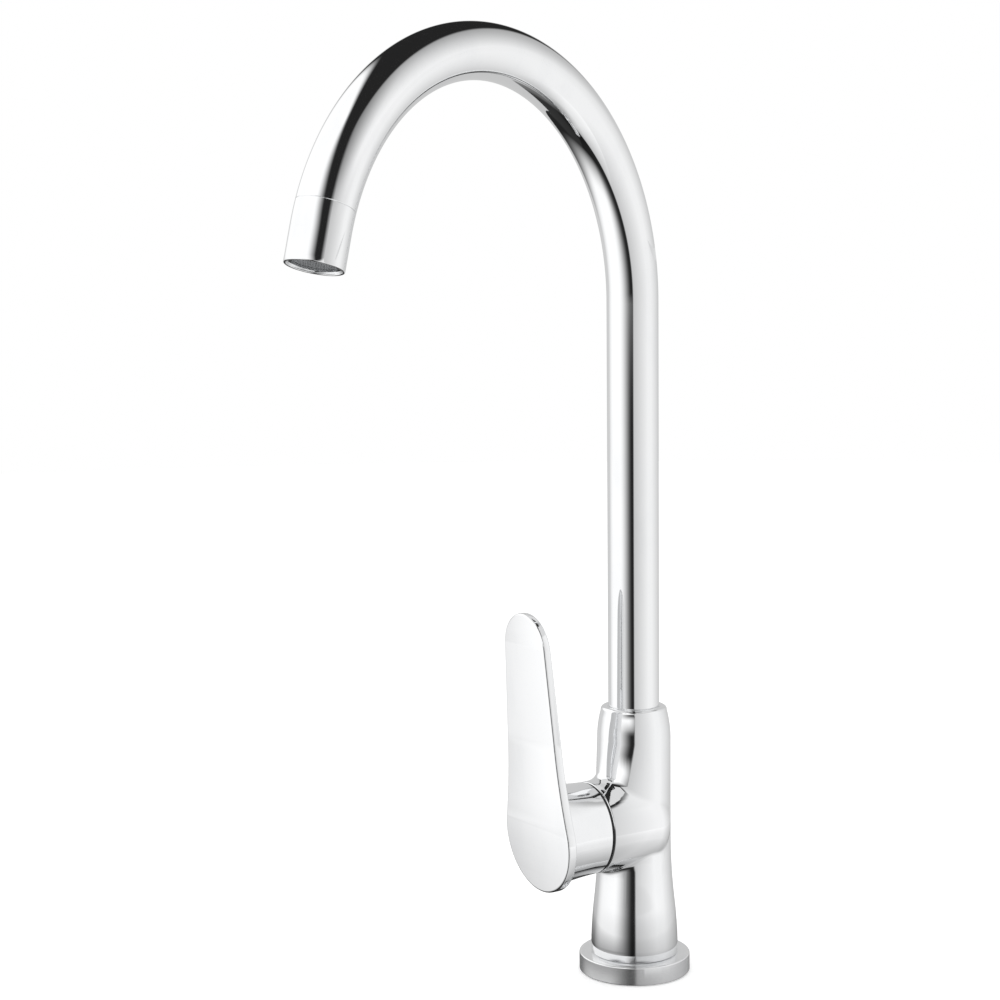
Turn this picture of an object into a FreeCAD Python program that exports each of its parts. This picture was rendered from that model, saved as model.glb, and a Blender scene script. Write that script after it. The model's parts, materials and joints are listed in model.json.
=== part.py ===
import FreeCAD, Part
import math
import os

from FreeCAD import Placement, Rotation, Vector

# Swan-neck sink tap with one side lever that serves hot, cold and filtered water.
# Millimetres. The origin is the centre of the base's underside, on the worktop; +Z is up.
# At rest the spout reaches along -Y. The lever's barrel lies LEVER_AZIMUTH from that.

# Base ring and its seal on the worktop
RING_R = 26.25
RING_HEIGHT = 8.6
RING_ROUND = 0.7
SEAL_R_IN = 21.0
SEAL_R_OUT = 24.4
SEAL_HEIGHT = 2.2

# Column: spigot inside the base ring, slim foot, tapered belly, plain neck, round shoulder
SPIGOT_R = 18.0
FOOT_R = 20.6
FOOT_CHAMFER = 0.5
COLUMN_R = 17.35
TAPER_TOP_Z = 65.0
TAPER_TURN = 0.45
NECK_TOP_Z = 127.4
SHOULDER_DROP = 15.4
SHOULDER_STEP = 1.75
BROW_DROP = 2.0
BROW_STEP = 3.95
BROW_BULGE = 0.55

# Barrel that carries the lever, square to the column
LEVER_AZIMUTH = -18.2
BARREL_Z = 72.4
BARREL_R = 21.35
BARREL_RIM = 26.0
BARREL_BACK = 14.6
BARREL_EDGE = 0.5
BARREL_FILLET = 3.0

# Chamber bored in the barrel, measured outwards from the column's axis
BARREL_WALL = 2.05
CHAMBER_STEP = 1.0
WELL_R = 14.2
WELL_FLOOR = -7.5
NUT_LEDGE = 1.7
NUT_BACK = 16.0
NUT_FRONT = 22.0
NUT_KEY_SLOT = 3.5
NUT_R_IN = 12.5

# Water inlets and fixing hole in the underside, and the waterways from them
INLET_CIRCLE_R = 11.0
INLET_R = 4.5
INLET_DEPTH = 12.0
STUD_HOLE_R = 3.4
STUD_HOLE_DEPTH = 14.0
MAINS_BORE_R = 2.2
FILTER_BORE_R = 1.5
RISER_BACK = 12.0
FILTER_CROSS_Z = 19.0
PORT_X = 6.0
BORE_OVERLAP = 1.0
PORT_DROP = 5.5
FILTER_PORT_DROP = 9.4
OUT_PORT_X = 4.5
OUT_PORT_RISE = 7.0
MOUTH_X = 3.2
MOUTH_BACK = 6.6

# Cartridge, from the well's floor outwards
GASKET_THICK = 1.0
GASKET_INSET = 0.8
BASE_THICK = 1.5
DISC_THICK = 2.35
MOVING_DISC_R = 11.3
DISC_FILM = 0.05
DISC_POCKET_DEPTH = 1.2
CARRIER_FRONT = 4.4
CARRIER_R = 11.5
CARRIER_FLANGE = 1.6
CARRIER_FLOOR = 0.75
CARRIER_FLAT_X = 9.2
HOUSING_WALL = 2.5
HOUSING_LIP = 1.8
TURRET_BACK = 4.9
TURRET_NECK_R = 9.2
TURRET_NECK_LENGTH = 2.6
LUG_THICK = 1.6
LUG_LENGTH = 2.9

# Lever: pivot, stem, hub and paddle
PIVOT_OUT = 8.8
LIFT_MAX = 20.0
PIN_R = 1.5
PIN_LENGTH = 22.0
STEM_SIDE = 7.0
STEM_CORNER = 1.0
STEM_HEEL = 3.0
STEM_FRONT = 46.5
BALL_R = 2.0
BALL_ARM = 6.0
BALL_NECK_R = 1.4
DOME_INSET = 0.4
DOME_THICK = 1.2
DOME_HOLE_R = 13.6
DOME_SKIRT = 2.4
HUB_GAP = 1.7
HUB_CLEAR = 0.5
HUB_WAIST_R = 22.2
HUB_FRONT_R = 24.0
HUB_WALL = 2.6
HUB_CAVITY_FRONT = 47.0
BOSS_R = 7.6
PLATE_OUT = 55.5
PLATE_LEAN = 4.0
PLATE_FOOT_R = 26.0
PLATE_THICK = 5.0
PLATE_TIP_THICK = 4.0
PLATE_TOP = 104.5
PLATE_TIP_R = 16.5
PLATE_MID = 47.0
PLATE_MID_HALF = 19.5
PLATE_FOOT_TURN = 13.0
PLATE_ROUND = 1.2
GRUB_R = 2.5
GRUB_OUT = 42.5
GRUB_LENGTH = 4.6
GRUB_KEY_AF = 2.5
CAP_THICK = 1.6

# Spout tube and its swivel in the neck
TUBE_R = 12.0
TUBE_WALL = 1.0
RISE_Z = 317.3
BEND_R = 104.0
BEND_SWEEP = 164.5
OUTLET_STRAIGHT = 14.6
SLEEVE_LENGTH = 24.0
SLEEVE_WALL = 1.2
SLEEVE_TAIL = 8.0
SLEEVE_TAIL_WALL = 0.9
SOCKET_DEPTH = 28.2
SOCKET_R = 11.0
COLLAR_DEPTH = 9.6
COLLAR_GAP = 0.25
PLENUM = 2.0
STEM_R = 10.6
STEM_BORE_R = 8.3
STEM_IN_TUBE = 17.0
SLIP_HEIGHT = 2.0
SLIP_DEPTH = 0.9
O_RING_WIRE_R = 0.9
O_RING_CORNER = 0.5
GROOVE_LAND = 1.2
RETAIN_WIDTH = 2.6
RETAIN_DEPTH = 1.35
LOCK_SCREW_R = 2.0
LOCK_TIP_R = 1.0
LOCK_KEY_AF = 2.0
LOCK_SINK = 0.45

# Filtered-water tube inside the spout
FILTER_TUBE_R = 4.0
FILTER_TUBE_WALL = 1.0
NIPPLE_R = 4.5
NIPPLE_BORE_R = 2.2
NIPPLE_REACH = 4.0
NIPPLE_TOP_Z = 116.0
NIPPLE_SPIGOT = 6.0
NIPPLE_RING_R = 0.6
WEB_THICK = 1.6
WEB_HEIGHT = 5.0
WEB_Z = 106.0
WEBS = 3

# Aerator, measured back from the outlet's face
AERATOR_RECESS = 0.8
AERATOR_LENGTH = 11.2
AERATOR_LIP = 0.9
AERATOR_LIP_R = 9.0
AERATOR_BORE_R = 9.4
MESH_THICK = 0.6
INSERT_LENGTH = 8.4
INSERT_HOLES = 12
INSERT_HOLE_R = 0.9
INSERT_HOLE_CIRCLE_R = 6.3
WASHER_THICK = 1.5
WASHER_R_IN = 8.2
NOZZLE_R = 3.2
NOZZLE_BORE_R = 2.2
NOZZLE_SPIGOT = 4.0
NOZZLE_STEP = 1.0

# Clearances
SEAT_GAP = 0.03
RUN_GAP = 0.05
FREE_GAP = 0.3
THREAD_GAP = 0.04
HOUSING_GAP = 0.1

# How far a cutting shape runs past a face, and how near two points count as one
PAST = 1.0
SAME = 0.01

# Values worked out from the sizes above
SHOULDER_R = COLUMN_R - SHOULDER_STEP
BROW_R = COLUMN_R - BROW_STEP
NUT_THREAD_R = BARREL_R - BARREL_WALL
CHAMBER_R = NUT_THREAD_R - NUT_LEDGE
HOUSING_R = CHAMBER_R - HOUSING_GAP
HOUSING_BORE_R = HOUSING_R - HOUSING_WALL
GASKET_R = WELL_R - GASKET_INSET
FIXED_DISC_R = WELL_R - FREE_GAP
BARREL_CORNER_R = math.hypot(BARREL_R, BARREL_RIM - PIVOT_OUT)
DOME_R = BARREL_CORNER_R - DOME_INSET
HUB_CAVITY_R = BARREL_CORNER_R + HUB_CLEAR
HUB_BACK = BARREL_RIM + HUB_GAP
SOCKET_FLOOR_Z = NECK_TOP_Z - SOCKET_DEPTH
TUBE_FOOT_Z = NECK_TOP_Z - COLLAR_DEPTH + FREE_GAP
SPOUT_STEM_Z = SOCKET_FLOOR_Z + PLENUM
LOWER_SLIP_Z = SPOUT_STEM_Z + GROOVE_LAND
O_RING_GROOVE = 2 * O_RING_WIRE_R + 2 * FREE_GAP
FIRST_O_RING_Z = LOWER_SLIP_Z + SLIP_HEIGHT + GROOVE_LAND + O_RING_GROOVE / 2
SECOND_O_RING_Z = FIRST_O_RING_Z + O_RING_GROOVE + GROOVE_LAND
RETAIN_Z = SECOND_O_RING_Z + O_RING_GROOVE / 2 + GROOVE_LAND + RETAIN_WIDTH / 2
UPPER_SLIP_Z = RETAIN_Z + RETAIN_WIDTH / 2 + GROOVE_LAND
FIXED_DISC_BACK = WELL_FLOOR + GASKET_THICK + BASE_THICK
MOVING_DISC_BACK = FIXED_DISC_BACK + DISC_THICK + DISC_FILM
CARRIER_BACK = MOVING_DISC_BACK + DISC_THICK
TURRET_FRONT = NUT_BACK - HOUSING_LIP - RUN_GAP
BALL_OUT = PIVOT_OUT - BALL_ARM
FILTER_BORE_Z = SOCKET_FLOOR_Z - NIPPLE_REACH - FREE_GAP - FILTER_BORE_R

X_AXIS = Vector(1, 0, 0)
Y_AXIS = Vector(0, 1, 0)
Z_AXIS = Vector(0, 0, 1)


def turned(start, *steps):
    """Solid turned about Z. A step is an end (r, z), or a pair of them: an arc's middle and end."""
    edges = []
    here = Vector(start[0], 0, start[1])
    for step in steps + (start,):
        if isinstance(step[0], tuple):
            middle = Vector(step[0][0], 0, step[0][1])
            end = Vector(step[1][0], 0, step[1][1])
            edges.append(Part.Arc(here, middle, end).toShape())
        else:
            end = Vector(step[0], 0, step[1])
            edges.append(Part.LineSegment(here, end).toShape())
        here = end
    return Part.Face(Part.Wire(edges)).revolve(Vector(), Z_AXIS, 360)


def disc(radius, low, high, x=0.0, y=0.0):
    """Cylinder along Z from low to high."""
    return Part.makeCylinder(radius, high - low, Vector(x, y, low))


def ring(r_in, r_out, low, high):
    """Plain ring about Z."""
    return disc(r_out, low, high).cut(disc(r_in, low, high))


def block(x, y, z):
    """Box between two limits on each axis."""
    return Part.makeBox(x[1] - x[0], y[1] - y[0], z[1] - z[0], Vector(x[0], y[0], z[0]))


def rod(radius, start, end):
    """Round rod from one point to another."""
    return Part.makeCylinder(radius, (end - start).Length, start, end - start)


def hex_rod(across_flats, low, high):
    """Hexagonal rod along Z."""
    corner_r = across_flats / math.sqrt(3)
    spoke = Vector(corner_r, 0, low)
    corners = [Rotation(Z_AXIS, 60 * side).multVec(spoke) for side in range(7)]
    return Part.Face(Part.makePolygon(corners)).extrude(Vector(0, 0, high - low))


def o_ring(wire_r, corner, outer_r, z):
    """Rubber ring about Z, squashed nearly square in its groove, whose outside is outer_r."""
    inner_r = outer_r - 2 * wire_r
    low = z - wire_r
    high = z + wire_r
    return turned((inner_r, low + corner), (inner_r + corner, low), (outer_r - corner, low),
                  (outer_r, low + corner), (outer_r, high - corner), (outer_r - corner, high),
                  (inner_r + corner, high), (inner_r, high - corner))


def moved(shape, placement):
    """The shape carried by a placement."""
    copy = shape.copy()
    copy.Placement = placement.multiply(copy.Placement)
    return copy


def on_barrel(shape):
    """Carries a shape built with z outwards and y up on to the barrel's axis."""
    upright = Placement(Vector(), Rotation(X_AXIS, 90))
    turn = Placement(Vector(0, 0, BARREL_Z), Rotation(Z_AXIS, LEVER_AZIMUTH))
    return moved(shape, turn.multiply(upright))


def barrel_point(x, out, z):
    """Point at x across the barrel, out along it from the column's axis, and z above the worktop."""
    return Rotation(Z_AXIS, LEVER_AZIMUTH).multVec(Vector(x, -out, z))


def arch_point(angle):
    """Point of the spout's centreline after a sweep from the top of its straight rise."""
    turn = math.radians(angle)
    return Vector(0, BEND_R * (math.cos(turn) - 1), RISE_Z + BEND_R * math.sin(turn))


def at_outlet(shape):
    """Carries a shape built along Z, with the outlet's face at z = 0, to the spout's end."""
    heading = Rotation(X_AXIS, BEND_SWEEP)
    end = arch_point(BEND_SWEEP) + heading.multVec(Z_AXIS) * OUTLET_STRAIGHT
    return moved(shape, Placement(end, heading))


def bent_rod(radius, first, last):
    """Solid round rod along the spout's arch, between two sweep angles."""
    face = Part.Face(Part.Wire(Part.makeCircle(radius)))
    face = moved(face, Placement(arch_point(first), Rotation(X_AXIS, first)))
    return face.revolve(Vector(0, -BEND_R, RISE_Z), X_AXIS, last - first)


def bend(r_out, r_in, first, last):
    """Stretch of bent pipe on the spout's arch, between two sweep angles."""
    return bent_rod(r_out, first, last).cut(bent_rod(r_in, first, last))


def arch_angle(length):
    """Sweep that a length of centreline takes on the arch."""
    return math.degrees(length / BEND_R)


def seam_angle():
    """Sweep at which the tube ends and the outlet sleeve starts."""
    return BEND_SWEEP - arch_angle(SLEEVE_LENGTH - OUTLET_STRAIGHT)


def base_ring():
    """Escutcheon ring round the column's spigot, grooved underneath for its seal."""
    bore_r = SPIGOT_R + RUN_GAP
    slant = RING_ROUND * (1 - math.sqrt(0.5))
    body = turned((bore_r, 0), (RING_R - RING_ROUND / 2, 0), (RING_R, RING_ROUND / 2),
                  (RING_R, RING_HEIGHT - RING_ROUND),
                  ((RING_R - slant, RING_HEIGHT - slant), (RING_R - RING_ROUND, RING_HEIGHT)),
                  (bore_r, RING_HEIGHT))
    return body.cut(ring(SEAL_R_IN, SEAL_R_OUT, 0, SEAL_HEIGHT))


def base_seal():
    """Rubber ring between the base ring and the worktop."""
    return ring(SEAL_R_IN + SEAT_GAP, SEAL_R_OUT - SEAT_GAP, 0, SEAL_HEIGHT)


def taper_radius(z):
    """Column radius on the belly: two tangent arcs that leave and arrive upright."""
    turn_z = RING_HEIGHT + TAPER_TURN * (TAPER_TOP_Z - RING_HEIGHT)
    drop = FOOT_R - COLUMN_R
    if z < turn_z:
        share = (z - RING_HEIGHT) / (turn_z - RING_HEIGHT)
        return FOOT_R - drop * TAPER_TURN * share ** 2
    share = (TAPER_TOP_Z - z) / (TAPER_TOP_Z - turn_z)
    return COLUMN_R + drop * (1 - TAPER_TURN) * share ** 2


def column():
    """Outer form of the column, from the spigot to the neck's shoulder."""
    turn_z = RING_HEIGHT + TAPER_TURN * (TAPER_TOP_Z - RING_HEIGHT)
    lower_z = (RING_HEIGHT + turn_z) / 2
    upper_z = (turn_z + TAPER_TOP_Z) / 2
    shoulder_z = NECK_TOP_Z - SHOULDER_DROP
    brow_z = NECK_TOP_Z - BROW_DROP
    shoulder_mid = (COLUMN_R - (COLUMN_R - SHOULDER_R) / 4, (shoulder_z + brow_z) / 2)
    brow_mid = ((SHOULDER_R + BROW_R) / 2 + BROW_BULGE, (brow_z + NECK_TOP_Z) / 2 + BROW_BULGE)
    return turned((0, 0), (SPIGOT_R, 0), (SPIGOT_R, RING_HEIGHT), (FOOT_R - FOOT_CHAMFER, RING_HEIGHT),
                  (FOOT_R, RING_HEIGHT + FOOT_CHAMFER),
                  ((taper_radius(lower_z), lower_z), (taper_radius(turn_z), turn_z)),
                  ((taper_radius(upper_z), upper_z), (COLUMN_R, TAPER_TOP_Z)),
                  (COLUMN_R, shoulder_z), (shoulder_mid, (SHOULDER_R, brow_z)),
                  (brow_mid, (BROW_R, NECK_TOP_Z)), (0, NECK_TOP_Z))


def barrel():
    """Outer form of the barrel: a cylinder with a half-ellipsoid back."""
    ellipse = Part.Ellipse(Vector(0, 0, 0), BARREL_R, BARREL_BACK)
    ellipse.Axis = Y_AXIS
    ellipse.XAxis = X_AXIS
    back = Vector(0, 0, -BARREL_BACK)
    side = Vector(BARREL_R, 0, 0)
    span = sorted((ellipse.parameter(back), ellipse.parameter(side)))
    if span[1] - span[0] > math.pi:
        span = [span[1], span[0] + 2 * math.pi]
    side_end = Vector(BARREL_R, 0, BARREL_RIM - BARREL_EDGE)
    rim_start = Vector(BARREL_R - BARREL_EDGE, 0, BARREL_RIM)
    edges = [Part.ArcOfEllipse(ellipse, span[0], span[1]).toShape(),
             Part.LineSegment(side, side_end).toShape(),
             Part.LineSegment(side_end, rim_start).toShape(),
             Part.LineSegment(rim_start, Vector(0, 0, BARREL_RIM)).toShape(),
             Part.LineSegment(Vector(0, 0, BARREL_RIM), back).toShape()]
    return Part.Face(Part.Wire(edges)).revolve(Vector(), Z_AXIS, 360)


def is_seam(edge):
    """True for the edges along which the barrel runs into the column."""
    return not edge.Degenerated and edge.Curve.TypeId == "Part::GeomBSplineCurve"


def outer_form():
    """Column and barrel in one piece, with the soft fillet that casting leaves between them."""
    form = column().fuse(on_barrel(barrel())).removeSplitter()
    return form.makeFillet(BARREL_FILLET, [edge for edge in form.Edges if is_seam(edge)])


def chamber():
    """Stepped bore for the cartridge, with the wider thread of its nut at the rim."""
    bore = disc(WELL_R, WELL_FLOOR, BARREL_RIM).fuse(disc(CHAMBER_R, CHAMBER_STEP, BARREL_RIM))
    return on_barrel(bore.fuse(disc(NUT_THREAD_R, NUT_BACK, BARREL_RIM)))


def inlet_centres():
    """Centres of the hot, cold and filtered inlets, as distances across and along the barrel."""
    half = INLET_CIRCLE_R / 2
    side = INLET_CIRCLE_R * math.sqrt(3) / 2
    return [(-side, -half), (side, -half), (0, INLET_CIRCLE_R)]


def inlets():
    """The three inlet bores and the fixing hole in the underside."""
    holes = rod(STUD_HOLE_R, Vector(), Vector(0, 0, STUD_HOLE_DEPTH))
    for across, out in inlet_centres():
        start = barrel_point(across, out, 0)
        holes = holes.fuse(rod(INLET_R, start, start + Vector(0, 0, INLET_DEPTH)))
    return holes


def mains_runs():
    """Mains water: straight runs from the two side inlets to the well, and from the well to the socket."""
    port_z = BARREL_Z - PORT_DROP
    outlet_z = BARREL_Z + OUT_PORT_RISE
    well = WELL_FLOOR + BORE_OVERLAP
    runs = []
    for across, out in inlet_centres()[:2]:
        port = math.copysign(PORT_X, across)
        start = (across, out, INLET_DEPTH - BORE_OVERLAP)
        runs.append([start, (port, -RISER_BACK, port_z), (port, well, port_z)])
    mouth = (-MOUTH_X, -MOUTH_BACK, SOCKET_FLOOR_Z + BORE_OVERLAP)
    runs.append([(-OUT_PORT_X, well, outlet_z), (-OUT_PORT_X, -RISER_BACK, outlet_z), mouth])
    return runs


def filtered_runs():
    """Filtered water: from its inlet to the well behind the mains, and from the well to the nipple."""
    across, out = inlet_centres()[2]
    port_z = BARREL_Z - FILTER_PORT_DROP
    outlet_z = BARREL_Z + OUT_PORT_RISE
    well = WELL_FLOOR + BORE_OVERLAP
    inward = [(across, out, INLET_DEPTH - BORE_OVERLAP), (across, out, FILTER_CROSS_Z),
              (0, -RISER_BACK, FILTER_CROSS_Z), (0, -RISER_BACK, port_z), (0, well, port_z)]
    onward = [(OUT_PORT_X, well, outlet_z), (OUT_PORT_X, -RISER_BACK, outlet_z),
              (OUT_PORT_X, -RISER_BACK, FILTER_BORE_Z), (0, 0, FILTER_BORE_Z)]
    return [inward, onward]


def waterways():
    """Every water passage as drilled rods, with a ball at each turn."""
    pipes = []
    for radius, runs in ((MAINS_BORE_R, mains_runs()), (FILTER_BORE_R, filtered_runs())):
        for run in runs:
            corners = [barrel_point(*corner) for corner in run]
            for start, end in zip(corners, corners[1:]):
                pipes += [rod(radius, start, end), Part.makeSphere(radius, end)]
    return pipes[0].multiFuse(pipes[1:])


def spout_socket():
    """Bores in the neck for the spout's stem, its tube and the filtered-water nipple."""
    bore = disc(SOCKET_R, SOCKET_FLOOR_Z, NECK_TOP_Z)
    collar = disc(TUBE_R + COLLAR_GAP, NECK_TOP_Z - COLLAR_DEPTH, NECK_TOP_Z)
    nipple = disc(NIPPLE_R + RUN_GAP, FILTER_BORE_Z - FILTER_BORE_R, SOCKET_FLOOR_Z)
    return bore.fuse(collar).fuse(nipple)


def lock_screw_hole():
    """Tapped hole at the back of the neck."""
    inner = Vector(0, SOCKET_R - PAST, RETAIN_Z)
    return rod(LOCK_SCREW_R + THREAD_GAP, inner, Vector(0, COLUMN_R + PAST, RETAIN_Z))


def body_casting():
    """The tap's body, bored for the cartridge, the spout and the water."""
    cuts = [chamber(), inlets(), waterways(), spout_socket(), lock_screw_hole()]
    return outer_form().cut(cuts)


def lock_screw():
    """Grub screw whose tip rides in the stem's groove and holds the spout down."""
    shank_end = SOCKET_R + FREE_GAP
    tip_end = STEM_R - RETAIN_DEPTH + FREE_GAP
    head = COLUMN_R - LOCK_SINK
    screw = turned((0, tip_end), (LOCK_TIP_R, tip_end), (LOCK_TIP_R, shank_end), (LOCK_SCREW_R, shank_end),
                   (LOCK_SCREW_R, head), (0, head))
    screw = screw.cut(hex_rod(LOCK_KEY_AF, head - LOCK_KEY_AF, head))
    return moved(screw, Placement(Vector(0, 0, RETAIN_Z), Rotation(X_AXIS, -90)))


def port_holes(back, front, gap=0.0):
    """The five port holes that run through the cartridge's plates."""
    holes = [disc(MAINS_BORE_R + gap, back, front, side * PORT_X, -PORT_DROP) for side in (-1, 1)]
    holes.append(disc(FILTER_BORE_R + gap, back, front, 0, -FILTER_PORT_DROP))
    holes.append(disc(MAINS_BORE_R + gap, back, front, -OUT_PORT_X, OUT_PORT_RISE))
    holes.append(disc(FILTER_BORE_R + gap, back, front, OUT_PORT_X, OUT_PORT_RISE))
    return holes


def cartridge_gasket():
    """Rubber plate that seals the five ports on the well's floor."""
    front = WELL_FLOOR + GASKET_THICK
    return on_barrel(disc(GASKET_R, WELL_FLOOR, front).cut(port_holes(WELL_FLOOR, front, FREE_GAP)))


def cartridge_base():
    """Plastic base plate of the cartridge."""
    back = WELL_FLOOR + GASKET_THICK
    return on_barrel(disc(WELL_R - RUN_GAP, back, FIXED_DISC_BACK).cut(port_holes(back, FIXED_DISC_BACK)))


def fixed_ceramic_disc():
    """Ceramic disc that stays with the base plate."""
    front = FIXED_DISC_BACK + DISC_THICK
    return on_barrel(disc(FIXED_DISC_R, FIXED_DISC_BACK, front).cut(port_holes(FIXED_DISC_BACK, front)))


def moving_ceramic_disc():
    """Ceramic disc whose pocket joins the ports as it turns and slides."""
    plate = disc(MOVING_DISC_R, MOVING_DISC_BACK, CARRIER_BACK)
    top = MOVING_DISC_BACK + DISC_POCKET_DEPTH
    lower = disc(PORT_DROP, MOVING_DISC_BACK, top, 0, -PORT_DROP / 2)
    upper = disc(OUT_PORT_X, MOVING_DISC_BACK, top, 0, OUT_PORT_RISE - MAINS_BORE_R)
    return on_barrel(plate.cut(lower.fuse(upper)))


def disc_carrier():
    """Plastic driver on the moving disc: flats for the turret's lugs and a pocket for the stem's ball."""
    body = disc(CARRIER_R, CARRIER_BACK, CARRIER_FRONT)
    flange_front = CARRIER_BACK + CARRIER_FLANGE
    for side in (-1, 1):
        limits = sorted((side * CARRIER_FLAT_X, side * CARRIER_R))
        body = body.cut(block(limits, (-CARRIER_R, CARRIER_R), (flange_front, CARRIER_FRONT)))
    half = BALL_R + FREE_GAP / 2
    pocket = block((-half, half), (-half, half), (CARRIER_BACK + CARRIER_FLOOR, CARRIER_FRONT))
    return on_barrel(body.cut(pocket))


def cartridge_housing():
    """Cartridge shell: a cup with a lip that keeps the turret in."""
    cup = ring(HOUSING_BORE_R, HOUSING_R, CHAMBER_STEP, NUT_BACK - HOUSING_LIP)
    lip = ring(TURRET_NECK_R + RUN_GAP, HOUSING_R, NUT_BACK - HOUSING_LIP, NUT_BACK)
    return on_barrel(cup.fuse(lip))


def stem_slot():
    """Room for the stem through the turret, over the whole lift."""
    half = STEM_SIDE / 2 + HOUSING_GAP
    swing = math.tan(math.radians(LIFT_MAX))
    slant = STEM_SIDE / 2 / math.cos(math.radians(LIFT_MAX)) + FREE_GAP
    front = TURRET_FRONT + TURRET_NECK_LENGTH + HOUSING_LIP
    back = TURRET_BACK - LUG_LENGTH
    low = -slant - (front - PIVOT_OUT) * swing
    high = slant + (PIVOT_OUT - TURRET_BACK) * swing
    return block((-half, half), (low, high), (back, front))


def pin_rod(radius):
    """Rod on the lever's pivot, as long as the pin."""
    half = PIN_LENGTH / 2
    return rod(radius, Vector(-half, 0, PIVOT_OUT), Vector(half, 0, PIVOT_OUT))


def stem_guide():
    """Turret that turns with the lever, slotted for the stem and lugged to drive the carrier."""
    neck_front = TURRET_FRONT + HOUSING_LIP + TURRET_NECK_LENGTH
    body = disc(HOUSING_BORE_R - RUN_GAP, TURRET_BACK, TURRET_FRONT)
    body = body.fuse(disc(TURRET_NECK_R, TURRET_BACK, neck_front))
    for side in (-1, 1):
        inner = CARRIER_FLAT_X + RUN_GAP
        limits = sorted((side * inner, side * (inner + LUG_THICK)))
        half = STEM_SIDE / 2
        body = body.fuse(block(limits, (-half, half), (TURRET_BACK - LUG_LENGTH, TURRET_BACK)))
    return on_barrel(body.cut([stem_slot(), pin_rod(PIN_R + SEAT_GAP)]))


def pivot_pin():
    """Steel pin across the turret on which the lever lifts."""
    return on_barrel(pin_rod(PIN_R))


def cartridge_nut():
    """Threaded ring that presses the cartridge down, with slots for its key."""
    nut = ring(NUT_R_IN, NUT_THREAD_R - THREAD_GAP, NUT_BACK, NUT_FRONT)
    half = NUT_KEY_SLOT / 2
    for turn in (0, 90):
        key = block((-NUT_THREAD_R, NUT_THREAD_R), (-half, half), (NUT_FRONT - half, NUT_FRONT))
        nut = nut.cut(moved(key, Placement(Vector(), Rotation(Z_AXIS, turn))))
    return on_barrel(nut)


def dome_cover():
    """Black round cover behind the lever, which shows in the gap between the lever and the barrel."""
    foot_r = math.sqrt(DOME_R ** 2 - (BARREL_RIM - PIVOT_OUT) ** 2)
    shell = Part.makeSphere(DOME_R).cut(Part.makeSphere(DOME_R - DOME_THICK))
    shell = moved(shell, Placement(Vector(0, 0, PIVOT_OUT), Rotation()))
    shell = shell.common(disc(foot_r + PAST, BARREL_RIM, PIVOT_OUT + DOME_R))
    skirt_r = NUT_THREAD_R - DOME_THICK
    skirt = ring(skirt_r, NUT_THREAD_R - RUN_GAP, BARREL_RIM - DOME_SKIRT, BARREL_RIM)
    bridge = ring(skirt_r, foot_r, BARREL_RIM, BARREL_RIM + DOME_THICK)
    bridge = bridge.common(moved(Part.makeSphere(DOME_R), Placement(Vector(0, 0, PIVOT_OUT), Rotation())))
    cover = shell.fuse(bridge).fuse(skirt)
    return on_barrel(cover.cut(disc(DOME_HOLE_R, 0, PIVOT_OUT + DOME_R)))


def stem():
    """Square steel stem from the ball in the carrier, over the pin, to the hub."""
    half = STEM_SIDE / 2
    back = PIVOT_OUT - STEM_HEEL
    bar = block((-half, half), (-half, half), (back, STEM_FRONT))
    long_edges = [edge for edge in bar.Edges if edge.BoundBox.ZLength > STEM_SIDE + PAST]
    bar = bar.makeChamfer(STEM_CORNER, long_edges)
    ball = Part.makeSphere(BALL_R, Vector(0, 0, BALL_OUT))
    neck = disc(BALL_NECK_R, BALL_OUT, back)
    return on_barrel(bar.fuse(neck).fuse(ball).cut(pin_rod(PIN_R + RUN_GAP)))


def plate_outline():
    """Face of the paddle's outline: round foot, drawn-in sides and round tip."""
    foot_turn = math.radians(PLATE_FOOT_TURN)
    tip_z = PLATE_TOP - PLATE_TIP_R
    foot = Vector(PLATE_FOOT_R * math.cos(foot_turn), PLATE_FOOT_R * math.sin(foot_turn), 0)
    heading = Vector(-math.sin(foot_turn), math.cos(foot_turn), 0)
    middle = Vector(PLATE_MID_HALF, PLATE_MID, 0)
    side_run = Vector(PLATE_TIP_R, tip_z, 0) - middle
    tip_turn = math.atan2(-side_run.x, side_run.y)
    tip = Vector(PLATE_TIP_R * math.cos(tip_turn), tip_z + PLATE_TIP_R * math.sin(tip_turn), 0)
    chord = middle - foot
    normal = Vector(heading.y, -heading.x, 0)
    blend_r = chord.Length ** 2 / (2 * abs(normal.dot(chord)))
    sag = blend_r - math.sqrt(blend_r ** 2 - (chord.Length / 2) ** 2)
    bow = (foot + middle) * 0.5 + Vector(-chord.y, chord.x, 0).normalize() * sag
    mirror = [Vector(-point.x, point.y, 0) for point in (foot, bow, middle, tip)]
    edges = [Part.Arc(mirror[0], Vector(0, -PLATE_FOOT_R, 0), foot).toShape(),
             Part.Arc(foot, bow, middle).toShape(),
             Part.LineSegment(middle, tip).toShape(),
             Part.Arc(tip, Vector(0, PLATE_TOP, 0), mirror[3]).toShape(),
             Part.LineSegment(mirror[3], mirror[2]).toShape(),
             Part.Arc(mirror[2], mirror[1], mirror[0]).toShape()]
    return Part.Face(Part.Wire(edges))


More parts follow.
